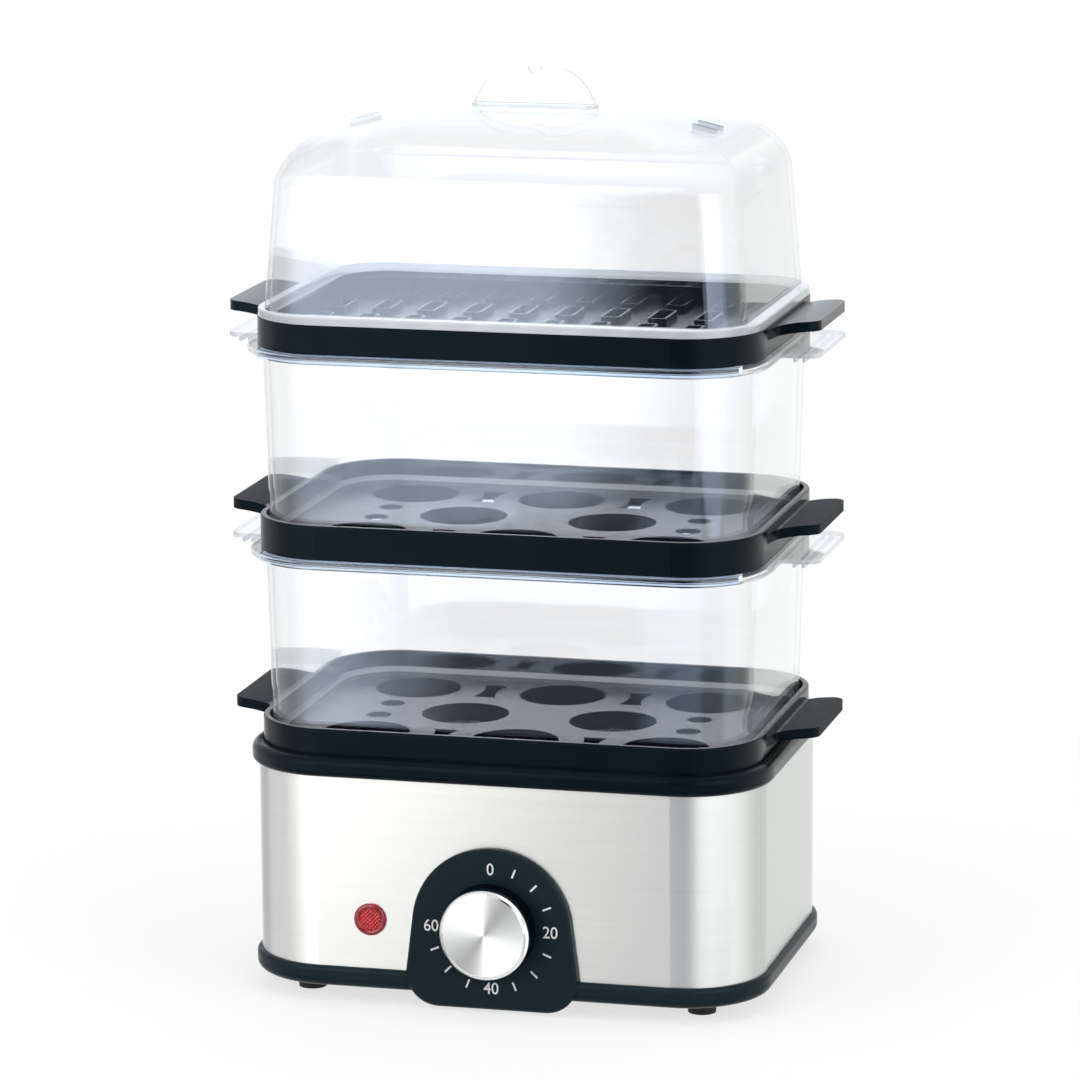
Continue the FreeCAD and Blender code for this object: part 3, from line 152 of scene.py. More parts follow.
def add(tree, kind, settings, inputs, stops=()):
    """Adds a node with its settings; each input takes a value or another node's socket.

    A colour ramp also takes its stops, as (position, hex colour).
    """
    node = tree.nodes.new(kind)
    for name, value in settings.items():
        setattr(node, name, value)
    for name, value in inputs.items():
        if isinstance(value, bpy.types.NodeSocket):
            tree.links.new(value, node.inputs[name])
        else:
            node.inputs[name].default_value = value
    for index, (position, hex_colour) in enumerate(stops):
        node.color_ramp.elements[index].position = position
        node.color_ramp.elements[index].color = linear(hex_colour)
    return node


def new_material(name):
    """An empty material and its node tree."""
    material = bpy.data.materials.new(name)
    material.use_nodes = True
    tree = material.node_tree
    tree.nodes.clear()
    return material, tree


def per_mm(size):
    """Texture scale for a pattern of this size in millimetres, in coordinates of metres."""
    return 1 / (size * mm)


def moulded(name, dark, light, roughness, spread, grain, bump, specular, sheen="#ffffff", grips=None):
    """Moulded plastic or rubber: faint flow clouds, and the fine grain of a spark-eroded mould.

    The grain's size and height are in millimetres. With grips, the plastic further out sideways
    than that has the dull grain of a handle.
    """
    material, tree = new_material(name)
    place = add(tree, "ShaderNodeTexCoord", {}, {})
    clouds = add(tree, "ShaderNodeTexNoise", {},
                 {"Vector": place.outputs["Object"], "Scale": per_mm(flow_cloud), "Detail": 3.0})
    fine = add(tree, "ShaderNodeTexNoise", {},
               {"Vector": place.outputs["Object"], "Scale": per_mm(grain), "Detail": 2.0})
    colour = add(tree, "ShaderNodeValToRGB", {}, {"Fac": clouds.outputs["Fac"]},
                 ((noise_low, dark), (noise_high, light)))
    rough = add(tree, "ShaderNodeMapRange", {},
                {"Value": fine.outputs["Fac"], "From Min": noise_low, "From Max": noise_high,
                 "To Min": roughness - spread, "To Max": roughness + spread})
    relief = add(tree, "ShaderNodeBump", {},
                 {"Height": fine.outputs["Fac"], "Strength": 0.35, "Distance": bump * mm})
    if grips:
        parts = add(tree, "ShaderNodeSeparateXYZ", {}, {"Vector": place.outputs["Object"]})
        side = add(tree, "ShaderNodeMath", {"operation": "ABSOLUTE"}, {0: parts.outputs["X"]})
        handle = add(tree, "ShaderNodeMath", {"operation": "GREATER_THAN"},
                     {0: side.outputs["Value"], 1: grips * mm})
        rough = add(tree, "ShaderNodeMapRange", {},
                    {"Value": handle.outputs["Value"], "To Min": rough.outputs["Result"],
                     "To Max": handle_roughness})
    surface = add(tree, "ShaderNodeBsdfPrincipled", {},
                  {"Base Color": colour.outputs["Color"], "Roughness": rough.outputs["Result"],
                   "Normal": relief.outputs["Normal"], "Specular IOR Level": specular,
                   "IOR": polypropylene_ior, "Specular Tint": linear(sheen)})
    add(tree, "ShaderNodeOutputMaterial", {}, {"Surface": surface.outputs["BSDF"]})
    return material


def plated(name, dark, light, roughness, grain):
    """Plated or cast metal: its colour drifts a little and its roughness has a fine mottle."""
    material, tree = new_material(name)
    place = add(tree, "ShaderNodeTexCoord", {}, {})
    drift = add(tree, "ShaderNodeTexNoise", {},
                {"Vector": place.outputs["Object"], "Scale": per_mm(plate_drift), "Detail": 4.0})
    mottle = add(tree, "ShaderNodeTexNoise", {},
                 {"Vector": place.outputs["Object"], "Scale": per_mm(grain), "Detail": 3.0})
    colour = add(tree, "ShaderNodeValToRGB", {}, {"Fac": drift.outputs["Fac"]},
                 ((noise_low, dark), (noise_high, light)))
    rough = add(tree, "ShaderNodeMapRange", {},
                {"Value": mottle.outputs["Fac"], "From Min": noise_low, "From Max": noise_high,
                 "To Min": roughness * 0.7, "To Max": roughness * 1.3})
    relief = add(tree, "ShaderNodeBump", {},
                 {"Height": mottle.outputs["Fac"], "Strength": 0.2, "Distance": fine_groove * mm})
    surface = add(tree, "ShaderNodeBsdfPrincipled", {},
                  {"Base Color": colour.outputs["Color"], "Roughness": rough.outputs["Result"],
                   "Metallic": 1.0, "Normal": relief.outputs["Normal"]})
    add(tree, "ShaderNodeOutputMaterial", {}, {"Surface": surface.outputs["BSDF"]})
    return material


def brushed_steel():
    """Stainless sheet brushed along its length.

    The brush leaves long level scratches, so lights smear up and down and stay crisp sideways.
    The scratches are far finer than a millimetre and are drawn 0.25 mm high, so that they just show.
    """
    material, tree = new_material("brushed_stainless_sheet")
    place = add(tree, "ShaderNodeTexCoord", {}, {})
    stretch = add(tree, "ShaderNodeMapping", {},
                  {"Vector": place.outputs["Object"],
                   "Scale": (per_mm(scratch_length), per_mm(scratch_length), per_mm(scratch_height))})
    scratches = add(tree, "ShaderNodeTexNoise", {},
                    {"Vector": stretch.outputs["Vector"], "Scale": 1.0, "Detail": 4.0,
                     "Roughness": 0.6})
    long_stretch = add(tree, "ShaderNodeMapping", {},
                       {"Vector": place.outputs["Object"],
                        "Scale": (per_mm(band_length), per_mm(band_length), per_mm(band_height))})
    bands = add(tree, "ShaderNodeTexNoise", {},
                {"Vector": long_stretch.outputs["Vector"], "Scale": 1.0, "Detail": 2.0})
    marks = add(tree, "ShaderNodeMath", {"operation": "MULTIPLY_ADD"},
                {0: bands.outputs["Fac"], 1: 0.35, 2: scratches.outputs["Fac"]})
    colour = add(tree, "ShaderNodeValToRGB", {}, {"Fac": marks.outputs["Value"]},
                 ((marks_low, "#cdcecd"), (marks_high, "#d4d5d3")))
    rough = add(tree, "ShaderNodeMapRange", {},
                {"Value": marks.outputs["Value"], "From Min": marks_low, "From Max": marks_high,
                 "To Min": 0.29, "To Max": 0.33})
    grooves = add(tree, "ShaderNodeBump", {},
                  {"Height": scratches.outputs["Fac"], "Strength": 0.05, "Distance": fine_groove * mm})
    brush = add(tree, "ShaderNodeTangent", {"direction_type": "RADIAL", "axis": "Z"}, {})
    surface = add(tree, "ShaderNodeBsdfPrincipled", {},
                  {"Base Color": colour.outputs["Color"], "Metallic": 1.0,
                   "Roughness": rough.outputs["Result"], "Anisotropic": 0.8,
                   "Anisotropic Rotation": across_grooves,
                   "Normal": grooves.outputs["Normal"], "Tangent": brush.outputs["Tangent"]})
    add(tree, "ShaderNodeOutputMaterial", {}, {"Surface": surface.outputs["BSDF"]})
    return material


def spun_aluminium():
    """Aluminium faced on a lathe: rings round the knob's axis turn each light into a bow tie.

    The tool's rings are a few hundredths of a millimetre apart and are drawn 0.3 mm apart. Outside
    the flat face the bevel is cut with a diamond, so it is plain and as sharp as a mirror.
    """
    material, tree = new_material("spun_aluminium")
    place = add(tree, "ShaderNodeTexCoord", {}, {})
    centred = add(tree, "ShaderNodeMapping", {},
                  {"Vector": place.outputs["Object"], "Location": (0, 0, -dial_height * mm)})
    parts = add(tree, "ShaderNodeSeparateXYZ", {}, {"Vector": centred.outputs["Vector"]})
    flat = add(tree, "ShaderNodeCombineXYZ", {}, {"X": parts.outputs["X"], "Z": parts.outputs["Z"]})
    reach = add(tree, "ShaderNodeVectorMath", {"operation": "LENGTH"}, {0: flat.outputs["Vector"]})
    rings = add(tree, "ShaderNodeMath", {"operation": "MULTIPLY"},
                {0: reach.outputs["Value"], 1: per_mm(lathe_ring)})
    ring_noise = add(tree, "ShaderNodeTexNoise", {"noise_dimensions": "1D"},
                     {"W": rings.outputs["Value"], "Scale": 1.0, "Detail": 3.0, "Roughness": 0.7})
    colour = add(tree, "ShaderNodeValToRGB", {}, {"Fac": ring_noise.outputs["Fac"]},
                 ((noise_low, "#dfe0e0"), (noise_high, "#e8e9e8")))
    grooves = add(tree, "ShaderNodeBump", {},
                  {"Height": ring_noise.outputs["Fac"], "Strength": 0.08, "Distance": fine_groove * mm})
    turn = add(tree, "ShaderNodeTangent", {"direction_type": "RADIAL", "axis": "Y"}, {})
    turned = add(tree, "ShaderNodeMapRange", {},
                 {"Value": ring_noise.outputs["Fac"], "From Min": noise_low, "From Max": noise_high,
                  "To Min": 0.32, "To Max": 0.4})
    face = add(tree, "ShaderNodeMath", {"operation": "LESS_THAN"},
               {0: reach.outputs["Value"], 1: cap_flat_radius * mm})
    rough = add(tree, "ShaderNodeMapRange", {},
                {"Value": face.outputs["Value"], "To Min": 0.07, "To Max": turned.outputs["Result"]})
    surface = add(tree, "ShaderNodeBsdfPrincipled", {},
                  {"Base Color": colour.outputs["Color"], "Metallic": 1.0,
                   "Roughness": rough.outputs["Result"], "Anisotropic": 0.9,
                   "Anisotropic Rotation": across_grooves,
                   "Normal": grooves.outputs["Normal"], "Tangent": turn.outputs["Tangent"]})
    add(tree, "ShaderNodeOutputMaterial", {}, {"Surface": surface.outputs["BSDF"]})
    return material


def in_zones(tree, height, zones):
    """1 where the height is within one of the zones, otherwise 0."""
    found = None
    for middle, half in zones:
        zone = add(tree, "ShaderNodeMath", {"operation": "COMPARE"},
                   {0: height, 1: middle * mm, 2: half * mm}).outputs["Value"]
        found = zone if found is None else add(tree, "ShaderNodeMath", {"operation": "ADD"},
                                               {0: found, 1: zone}).outputs["Value"]
    return found


def clear_polycarbonate():
    """Clear moulded polycarbonate: thin walls pass light straight through and mirror the studio.

    Seen square on, the mirror image is a little blue. Faces seen edge-on, the vents' cuts and the
    narrow sides of the grips and of the lid's handle get a painted grey-blue shade, which draws the
    outline. The lips are thick, so they bend what is behind them, and the wall feet, the flange and the
    handle's foot get a painted milky white highlight. A faint haze and moulding waves keep the
    highlights from looking drawn with a ruler.
    """
    material, tree = new_material("clear_polycarbonate")
    place = add(tree, "ShaderNodeTexCoord", {}, {})
    waves = add(tree, "ShaderNodeTexNoise", {},
                {"Vector": place.outputs["Object"], "Scale": per_mm(moulding_wave), "Detail": 1.0})
    haze = add(tree, "ShaderNodeTexNoise", {},
               {"Vector": place.outputs["Object"], "Scale": per_mm(haze_patch), "Detail": 4.0})
    rough = add(tree, "ShaderNodeMapRange", {},
                {"Value": haze.outputs["Fac"], "From Min": 0.35, "From Max": 0.75,
                 "To Min": 0.03, "To Max": 0.08})
    relief = add(tree, "ShaderNodeBump", {},
                 {"Height": waves.outputs["Fac"], "Strength": 0.15, "Distance": 0.4 * mm})
    facing = add(tree, "ShaderNodeLayerWeight", {}, {"Blend": 0.5}).outputs["Facing"]

    # What the plastic can look like: the plain wall is see-through with a mirror image over it.
    through = add(tree, "ShaderNodeBsdfTransparent", {}, {"Color": linear("#ffffff")}).outputs["BSDF"]
    tint = add(tree, "ShaderNodeValToRGB", {}, {"Fac": facing}, ((0.1, "#d8e7ff"), (0.6, "#ffffff")))
    gloss = add(tree, "ShaderNodeBsdfGlossy", {},
                {"Color": tint.outputs["Color"], "Roughness": rough.outputs["Result"],
                 "Normal": relief.outputs["Normal"]}).outputs["BSDF"]
    # Painted shade: an opaque grey-blue that stands in for the dark edges of the clear plastic.
    painted_shade_colour = add(tree, "ShaderNodeValToRGB", {}, {"Fac": haze.outputs["Fac"]},
                      ((0.2, "#bcc8d1"), (0.8, "#a9b7c2")))
    painted_shade_look = add(tree, "ShaderNodeBsdfPrincipled", {},
                  {"Base Color": painted_shade_colour.outputs["Color"], "Roughness": rough.outputs["Result"],
                   "IOR": polycarbonate_ior, "Normal": relief.outputs["Normal"]}).outputs["BSDF"]
    # Painted highlight: an opaque near-white laid on the wall feet, the flange and the handle's foot.
    painted_white_highlight = add(tree, "ShaderNodeBsdfPrincipled", {},
                {"Base Color": linear("#eff5fa"), "Roughness": rough.outputs["Result"],
                 "IOR": polycarbonate_ior}).outputs["BSDF"]
    glass = add(tree, "ShaderNodeBsdfPrincipled", {},
                {"Base Color": linear("#c6d9ec"), "Roughness": rough.outputs["Result"],
                 "Transmission Weight": 1.0, "IOR": polycarbonate_ior}).outputs["BSDF"]

    # Where it looks so: by the angle of view, by the way the face is turned, and by its place.
    glancing = add(tree, "ShaderNodeMath", {"operation": "POWER"}, {0: facing, 1: 5.0})
    mirror = add(tree, "ShaderNodeMapRange", {},
                 {"Value": glancing.outputs["Value"], "To Min": square_mirror, "To Max": edge_mirror})
    edge_on = add(tree, "ShaderNodeMath", {"operation": "POWER"}, {0: facing, 1: 6.0}).outputs["Value"]
    shape = add(tree, "ShaderNodeNewGeometry", {}, {})
    lean = add(tree, "ShaderNodeSeparateXYZ", {}, {"Vector": shape.outputs["True Normal"]})
    upright, sideways = [add(tree, "ShaderNodeMath", {"operation": "COMPARE"},
                             {0: lean.outputs[way], 1: 0.0, 2: lean_limit}).outputs["Value"]
                         for way in ("Z", "Y")]
    spot = add(tree, "ShaderNodeSeparateXYZ", {}, {"Vector": place.outputs["Object"]})
    side = add(tree, "ShaderNodeMath", {"operation": "ABSOLUTE"}, {0: spot.outputs["X"]})
    on_wall = add(tree, "ShaderNodeMath", {"operation": "LESS_THAN"},
                  {0: side.outputs["Value"], 1: lips_to * mm}).outputs["Value"]
    on_grip = add(tree, "ShaderNodeMath", {"operation": "GREATER_THAN"},
                  {0: side.outputs["Value"], 1: handles_from * mm}).outputs["Value"]
    # feet marks the bands of the painted white highlight: the wall feet, the lid's flange and the
    # handle's foot.
    feet, lips, vents, handle = [in_zones(tree, spot.outputs["Z"], zones)
                                 for zones in (highlight_band_zones, lip_zones, vent_zones, handle_zones)]
    grip_sides, handle_rim = [add(tree, "ShaderNodeMath", {"operation": "MULTIPLY"},
                                  {0: part, 1: way}).outputs["Value"]
                              for part, way in ((on_grip, upright), (handle, sideways))]

    # The painted grey-blue shade covers faces seen edge-on, the vents' upright sides and the narrow
    # sides of the grips and the handle; the painted white highlight covers the milky bands.
    # Each layer covers the ones before it, by the product of its first two.
    layers = ((edge_on, painted_edge_shade_share, painted_shade_look), (feet, painted_highlight_share, painted_white_highlight), (lips, on_wall, glass),
              (vents, upright, painted_shade_look), (grip_sides, painted_grip_shade_share, painted_shade_look),
              (handle_rim, painted_handle_shade_share, painted_shade_look))
    surface = add(tree, "ShaderNodeMixShader", {}, {0: mirror.outputs["Result"], 1: through, 2: gloss})
    for where, how_much, look in layers:
        share = add(tree, "ShaderNodeMath", {"operation": "MULTIPLY"}, {0: where, 1: how_much})
        surface = add(tree, "ShaderNodeMixShader", {},
                      {0: share.outputs["Value"], 1: surface.outputs["Shader"], 2: look})
    add(tree, "ShaderNodeOutputMaterial", {}, {"Surface": surface.outputs["Shader"]})
    return material


def red_polycarbonate(name, deep, bright, roughness):
    """Red tinted lens plastic: clouds of deeper colour in the body under a bright moulded skin."""
    material, tree = new_material(name)
    place = add(tree, "ShaderNodeTexCoord", {}, {})
    depth = add(tree, "ShaderNodeTexNoise", {},
                {"Vector": place.outputs["Object"], "Scale": per_mm(lens_cloud), "Detail": 2.0})
    colour = add(tree, "ShaderNodeValToRGB", {}, {"Fac": depth.outputs["Fac"]},
                 ((0.35, deep), (0.65, bright)))
    surface = add(tree, "ShaderNodeBsdfPrincipled", {},
                  {"Base Color": colour.outputs["Color"], "Roughness": roughness,
                   "IOR": polycarbonate_ior})
    add(tree, "ShaderNodeOutputMaterial", {}, {"Surface": surface.outputs["BSDF"]})
    return material


def neon_glass():
    """Blown glass of the pilot lamp with a faint orange gas tint."""
    material, tree = new_material("neon_lamp_glass")
    place = add(tree, "ShaderNodeTexCoord", {}, {})
    ripple = add(tree, "ShaderNodeTexNoise", {},
                 {"Vector": place.outputs["Object"], "Scale": per_mm(glass_ripple), "Detail": 1.0})
    colour = add(tree, "ShaderNodeValToRGB", {}, {"Fac": ripple.outputs["Fac"]},
                 ((0.0, "#ffd9b8"), (1.0, "#fff1e2")))
    surface = add(tree, "ShaderNodeBsdfPrincipled", {},
                  {"Base Color": colour.outputs["Color"], "Roughness": 0.03,
                   "Transmission Weight": 0.9, "IOR": lamp_glass_ior})
    add(tree, "ShaderNodeOutputMaterial", {}, {"Surface": surface.outputs["BSDF"]})
    return material


# Satin polypropylene from a fine-textured mould: near black with a cool, even sheen.
black_plastic = moulded("satin_black_polypropylene", "#0a1318", "#0e181d", roughness=0.24, spread=0.03,
                        grain=0.7, bump=0.015, specular=0.3, sheen="#5f7585")
# The egg trays are the same plastic with handles that are grained for grip.
tray_plastic = moulded("grained_black_polypropylene", "#0a1318", "#0e181d", roughness=0.24, spread=0.03,
                       grain=0.7, bump=0.015, specular=0.3, sheen="#5f7585", grips=handles_from)
# The base's bottom and dial panel are ABS: a shade greyer and a little duller.
grey_black_plastic = moulded("satin_black_abs", "#18252b", "#1d2b31", roughness=0.3, spread=0.04,
                             grain=0.7, bump=0.02, specular=0.1, sheen="#d8ecf8")
# The knob's ABS is blacker and smoother from a polished mould, so its ribs glint a little blue.
knob_plastic = moulded("black_abs_knob", "#03070b", "#070c11", roughness=0.2, spread=0.03,
                       grain=0.6, bump=0.015, specular=0.4, sheen="#c4ddff")
# Moulded rubber: coal black and matt, with a dusty grain.
foot_rubber = moulded("black_moulded_rubber", "#101112", "#191a1b", roughness=0.62, spread=0.06,
                      grain=0.5, bump=0.05, specular=0.3)
# Cured silicone: milky, soft highlights and a slightly dusty grain.
silicone = moulded("cured_silicone", "#cfcbc0", "#dedbd2", roughness=0.5, spread=0.05,
                   grain=0.5, bump=0.03, specular=0.4)
# Pressed steatite: chalky white with the press's grain.
steatite = moulded("pressed_steatite", "#d6d1c4", "#ebe7dd", roughness=0.55, spread=0.07,
                   grain=0.4, bump=0.03, specular=0.4)
# Compression-moulded phenolic: dark brown with a cloudy filler.
phenolic = moulded("moulded_phenolic", "#211a16", "#372c25", roughness=0.4, spread=0.05,
                   grain=0.6, bump=0.03, specular=0.45)
# Natural nylon: waxy off-white.
nylon = moulded("natural_nylon", "#d9d7cb", "#e8e7de", roughness=0.42, spread=0.05,
                grain=0.6, bump=0.02, specular=0.45)
# Extruded PVC: smooth and waxy, with the colour drifting a little along each wire. The earth wire's
# drift runs from green to yellow.
brown_pvc, blue_pvc, green_pvc = [
    moulded(name, dark, light, roughness=0.42, spread=0.05, grain=0.5, bump=0.02, specular=0.4)
    for name, dark, light in (("brown_extruded_pvc", "#5c3420", "#6e4129"),
                              ("blue_extruded_pvc", "#1d4f9c", "#275fb2"),
                              ("green_yellow_extruded_pvc", "#4f7d1f", "#b9b52a"))]
# Pad-printed white ink: a matt film whose thickness varies a little.
ink = moulded("white_pad_print", "#f6f7f7", "#fdfefe", roughness=0.6, spread=0.08,
              grain=0.5, bump=0.01, specular=0.3)
# Bright zinc plate: cool grey with a faint spangle.
zinc_plate = plated("zinc_plated_steel", "#a9acad", "#c4c6c4", roughness=0.34, grain=1.2)
# Pressed stainless, drawn and bright.
pressed_stainless = plated("drawn_stainless_dish", "#c2c2bf", "#d4d4d1", roughness=0.22, grain=2.5)
# Cast aluminium: pale and dull, with the mottle of the mould.
cast_aluminium = plated("cast_aluminium_plate", "#9fa0a0", "#bcbdbd", roughness=0.48, grain=0.8)
# Heater sheath, oxidised by heat: brown-grey straw tints.
oxidised_sheath = plated("oxidised_heater_sheath", "#4c4640", "#716659", roughness=0.5, grain=0.9)
# The lens face is a little milky from its prisms, and the rim round it is solid and darker.
red = red_polycarbonate("red_lens_polycarbonate", "#b2070f", "#d81b28", roughness=0.2)
dark_red = red_polycarbonate("red_rim_polycarbonate", "#850b14", "#b5182a", roughness=0.16)
steel = brushed_steel()
spun = spun_aluminium()
clear = clear_polycarbonate()
lamp_glass = neon_glass()

# The nodes that have each finish.
finishes = {
    steel: ["steel_shell"],
    black_plastic: ["top_bezel", "steam_tray"],
    tray_plastic: ["lower_egg_tray", "upper_egg_tray"],
    grey_black_plastic: ["base_cover", "dial_panel"],
    knob_plastic: ["timer_knob"],
    foot_rubber: ["feet", "cord_gland"],
    silicone: ["plate_gasket"],
    spun: ["knob_cap"],
    cast_aluminium: ["heat_spreader", "thermal_fuse"],
    pressed_stainless: ["heating_plate"],
    oxidised_sheath: ["heating_element"],
    clear: ["lower_tier_wall", "upper_tier_wall", "lid", "lid_handle"],
    red: ["lamp_lens"],
    dark_red: ["lamp_holder"],
    lamp_glass: ["lamp_bulb"],
    steatite: ["pin_insulators"],
    phenolic: ["thermostat"],
    nylon: ["terminal_block", "gland_nut"],
    brown_pvc: ["live_wires"],
    blue_pvc: ["neutral_wires"],
    green_pvc: ["earth_wire"],
    zinc_plate: ["cover_screws", "element_pins", "plate_studs", "plate_bracket", "plate_nuts",
                 "thermostat_screws", "fuse_clip", "fuse_screws", "timer_screws", "timer_shaft",
                 "timer_body", "timer_bell", "bell_nut", "lamp_clip", "terminal_screws"],
}
for material, names in finishes.items():
    for name in names:
        nodes[name].data.materials.clear()
        nodes[name].data.materials.append(material)


def piece_from(name, form, material, body):
    """Turns a finished bmesh into a piece that rides on a body."""
    mesh = bpy.data.meshes.new(name)
    bmesh.ops.recalc_face_normals(form, faces=form.faces)
    form.to_mesh(mesh)
    form.free()
    mesh.materials.append(material)
    piece = bpy.data.objects.new(name, mesh)
    bpy.context.scene.collection.objects.link(piece)
    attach(piece, body)
    return piece


# ---- printed dial ----
def dial_place(radius, degrees, y):
    """Point on the dial at an angle clockwise from the top, in metres."""
    angle = math.radians(degrees)
    return Vector((radius * math.sin(angle) * mm, y * mm,
                   (dial_height + radius * math.cos(angle)) * mm))


def dial_ticks():
    """Printed marks between the numerals: thin bars that point at the knob's axis."""
    form = bmesh.new()
    for step in range(1, dial_steps):
        if step % steps_per_numeral == 0:
            continue
        degrees = step * tick_step
        along = dial_place(1, degrees, 0) - dial_place(0, degrees, 0)
        across = Vector((along.z, 0, -along.x)) * (tick_width / 2)
        corners = []
        for y in (panel_face + print_sunk, panel_face - print_thickness):
            low = dial_place(tick_start, degrees, y)
            high = dial_place(tick_end, degrees, y)
            corners.append([form.verts.new(point) for point in
                            (low - across, low + across, high + across, high - across)])
        back, front = corners
        form.faces.new(back)
        form.faces.new(front)
        for index in range(4):
            following = (index + 1) % 4
            form.faces.new((back[index], back[following], front[following], front[index]))
    piece_from("dial_ticks", form, ink, "base")


def dial_numerals():
    """The numbers 0, 20, 40 and 60, a quarter turn apart, as a thin film of ink."""
    form = bmesh.new()
    for text, degrees in (("0", 0), ("20", 90), ("40", 180), ("60", 270)):
        curve = bpy.data.curves.new("numeral", "FONT")
        curve.body = text
        curve.resolution_u = 6
        curve.extrude = 0.5
        curve.offset = numeral_bold
        lettering = bpy.data.objects.new("numeral", curve)
        bpy.context.scene.collection.objects.link(lettering)
        bpy.context.view_layer.update()
        mesh = bpy.data.meshes.new_from_object(lettering)
        bpy.data.objects.remove(lettering)
        low = Vector([min(v.co[i] for v in mesh.vertices) for i in range(3)])
        high = Vector([max(v.co[i] for v in mesh.vertices) for i in range(3)])
        middle = (low + high) / 2
        size = numeral_height * mm / (high.y - low.y)
        thickness = numeral_thickness * mm / (high.z - low.z)
        centre = dial_place(numeral_radius, degrees, panel_face - print_thickness / 2)
        for vertex in mesh.vertices:
            offset = vertex.co - middle
            vertex.co = centre + Vector((offset.x * size * numeral_squeeze, -offset.z * thickness,
                                         offset.y * size))
        form.from_mesh(mesh)
        bpy.data.meshes.remove(mesh)
    bmesh.ops.remove_doubles(form, verts=form.verts, dist=same_point)
    piece_from("dial_numerals", form, ink, "base")


# ---- pilot lamp lens ----
def lamp_place(x, y, z):
    """Point at millimetres right of and above the lamp's axis, in metres."""
    return Vector(((lamp_side + x) * mm, y * mm, (dial_height + z) * mm))


def lamp_prisms():
    """Face of the lens: a field of small four-sided prisms, standing on their corners."""
    form = bmesh.new()
    half = prism_cells * prism_pitch
    turn = Matrix.Rotation(math.radians(45), 3, "Y")
    base_y = shell_front - prism_proud
    points = {}

    def corner(i, j):
        if (i, j) not in points:
            flat = turn @ Vector((i * prism_pitch - half, 0, j * prism_pitch - half))
            points[i, j] = form.verts.new(lamp_place(flat.x, base_y, flat.z))
        return points[i, j]

    limit = lens_ring_inner + prism_pitch * prism_overrun
    for i in range(2 * prism_cells):
        for j in range(2 * prism_cells):
            centre = turn @ Vector(((i + 0.5) * prism_pitch - half, 0, (j + 0.5) * prism_pitch - half))
            if centre.length > limit:
                continue
            tip = form.verts.new(lamp_place(centre.x, base_y - prism_height, centre.z))
            ring = [corner(i, j), corner(i + 1, j), corner(i + 1, j + 1), corner(i, j + 1)]
            for index in range(4):
                form.faces.new((ring[index], ring[(index + 1) % 4], tip))
    back = bmesh.ops.extrude_face_region(form, geom=form.faces[:])
    pushed = [item for item in back["geom"] if isinstance(item, bmesh.types.BMVert)]
    for vertex in pushed:
        vertex.co.y = (base_y + prism_sheet) * mm
    return piece_from("lamp_prisms", form, red, "base")


def lens_ring():
    """Rolled red rim that holds the prism face, turned about the lamp's axis."""
    bore = lens_ring_inner - lens_ring_lap
    middle = (lens_ring_inner + lens_radius) / 2
    half = (lens_radius - lens_ring_inner) / 2
    profile = [(bore, lens_ring_mouth)]
    for step in range(lens_ring_arc_steps + 1):
        angle = math.pi * step / lens_ring_arc_steps
        profile.append((middle - half * math.cos(angle),
                        lens_ring_low + lens_ring_rise * math.sin(angle)))
    profile += [(lens_radius, -lens_ring_sunk), (bore, -lens_ring_sunk)]
    form = bmesh.new()
    rings = []
    for index in range(lens_ring_segments):
        angle = 2 * math.pi * index / lens_ring_segments
        rings.append([form.verts.new(lamp_place(radius * math.sin(angle), shell_front - proud,
                                                radius * math.cos(angle)))
                      for radius, proud in profile])
    for index, ring in enumerate(rings):
        following = rings[(index + 1) % lens_ring_segments]
        for step in range(len(profile)):
            after = (step + 1) % len(profile)
            form.faces.new((ring[step], ring[after], following[after], following[step]))
    for face in form.faces:
        face.smooth = True
    piece_from("lens_ring", form, dark_red, "base")


dial_ticks()
dial_numerals()
prisms = lamp_prisms()
lens_ring()
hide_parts("lamp_lens")

# ---- camera ----
camera_data = bpy.data.cameras.new("camera")
camera_data.lens = 186.43
camera_data.sensor_width = 36
camera_data.clip_end = 100
camera = bpy.data.objects.new("camera", camera_data)
bpy.context.scene.collection.objects.link(camera)
camera_place = Vector((0.59374, -2.28235, 0.67988))
camera_roll = -0.006
back = Vector((0.2461, -0.9475, 0.2042)).normalized()
level_right = Vector((-back.y, back.x, 0)).normalized()
level_up = back.cross(level_right)
right = level_right * math.cos(camera_roll) + level_up * math.sin(camera_roll)
up = level_up * math.cos(camera_roll) - level_right * math.sin(camera_roll)
turn = Matrix((right, up, back)).transposed().to_4x4()
camera.matrix_world = Matrix.Translation(camera_place) @ turn
bpy.context.scene.camera = camera

# ---- studio, in metres ----
lamp_aim = Vector((0, 0, 0.15))
# Watts per square metre of a softbox that give it a brightness of 1.
softbox_watts = 4
floor_reach = 14.0
# The floor keeps the object's shadow up to the first distance and is plain white past the second.
shadow_near = 0.16
shadow_far = 0.5
# Share of plain white on the floor near the object, which thins the shadow.
near_white = 0.7
# Brightness of the world where it lights a surface, and where a ray shows it.
world_light = 0.55
world_shown = 1.0
card_foot = -1.4
card_strip = -0.47
card_low = -0.262
card_middle = 0.08
card_high = 1.5


def round_the_object(azimuth, distance, height):
    """Place at an azimuth from the dial's side and a distance from the object's axis."""
    angle = math.radians(azimuth)
    return Vector((distance * math.sin(angle), -distance * math.cos(angle), height))


def soft_lamp(name, azimuth, distance, height, width, tall, brightness):
    """Softbox facing the object; brightness is what a mirror would show of it."""
    data = bpy.data.lights.new(name, "AREA")
    data.shape = "RECTANGLE"
    data.size = width
    data.size_y = tall
    data.energy = brightness * softbox_watts * width * tall
    lamp = bpy.data.objects.new(name, data)
    bpy.context.scene.collection.objects.link(lamp)
    place = round_the_object(azimuth, distance, height)
    facing = (lamp_aim - place).to_track_quat("-Z", "Y").to_matrix().to_4x4()
    lamp.matrix_world = Matrix.Translation(place) @ facing
    lamp.visible_camera = False
    lamp.visible_glossy = False
    lamp.visible_transmission = False


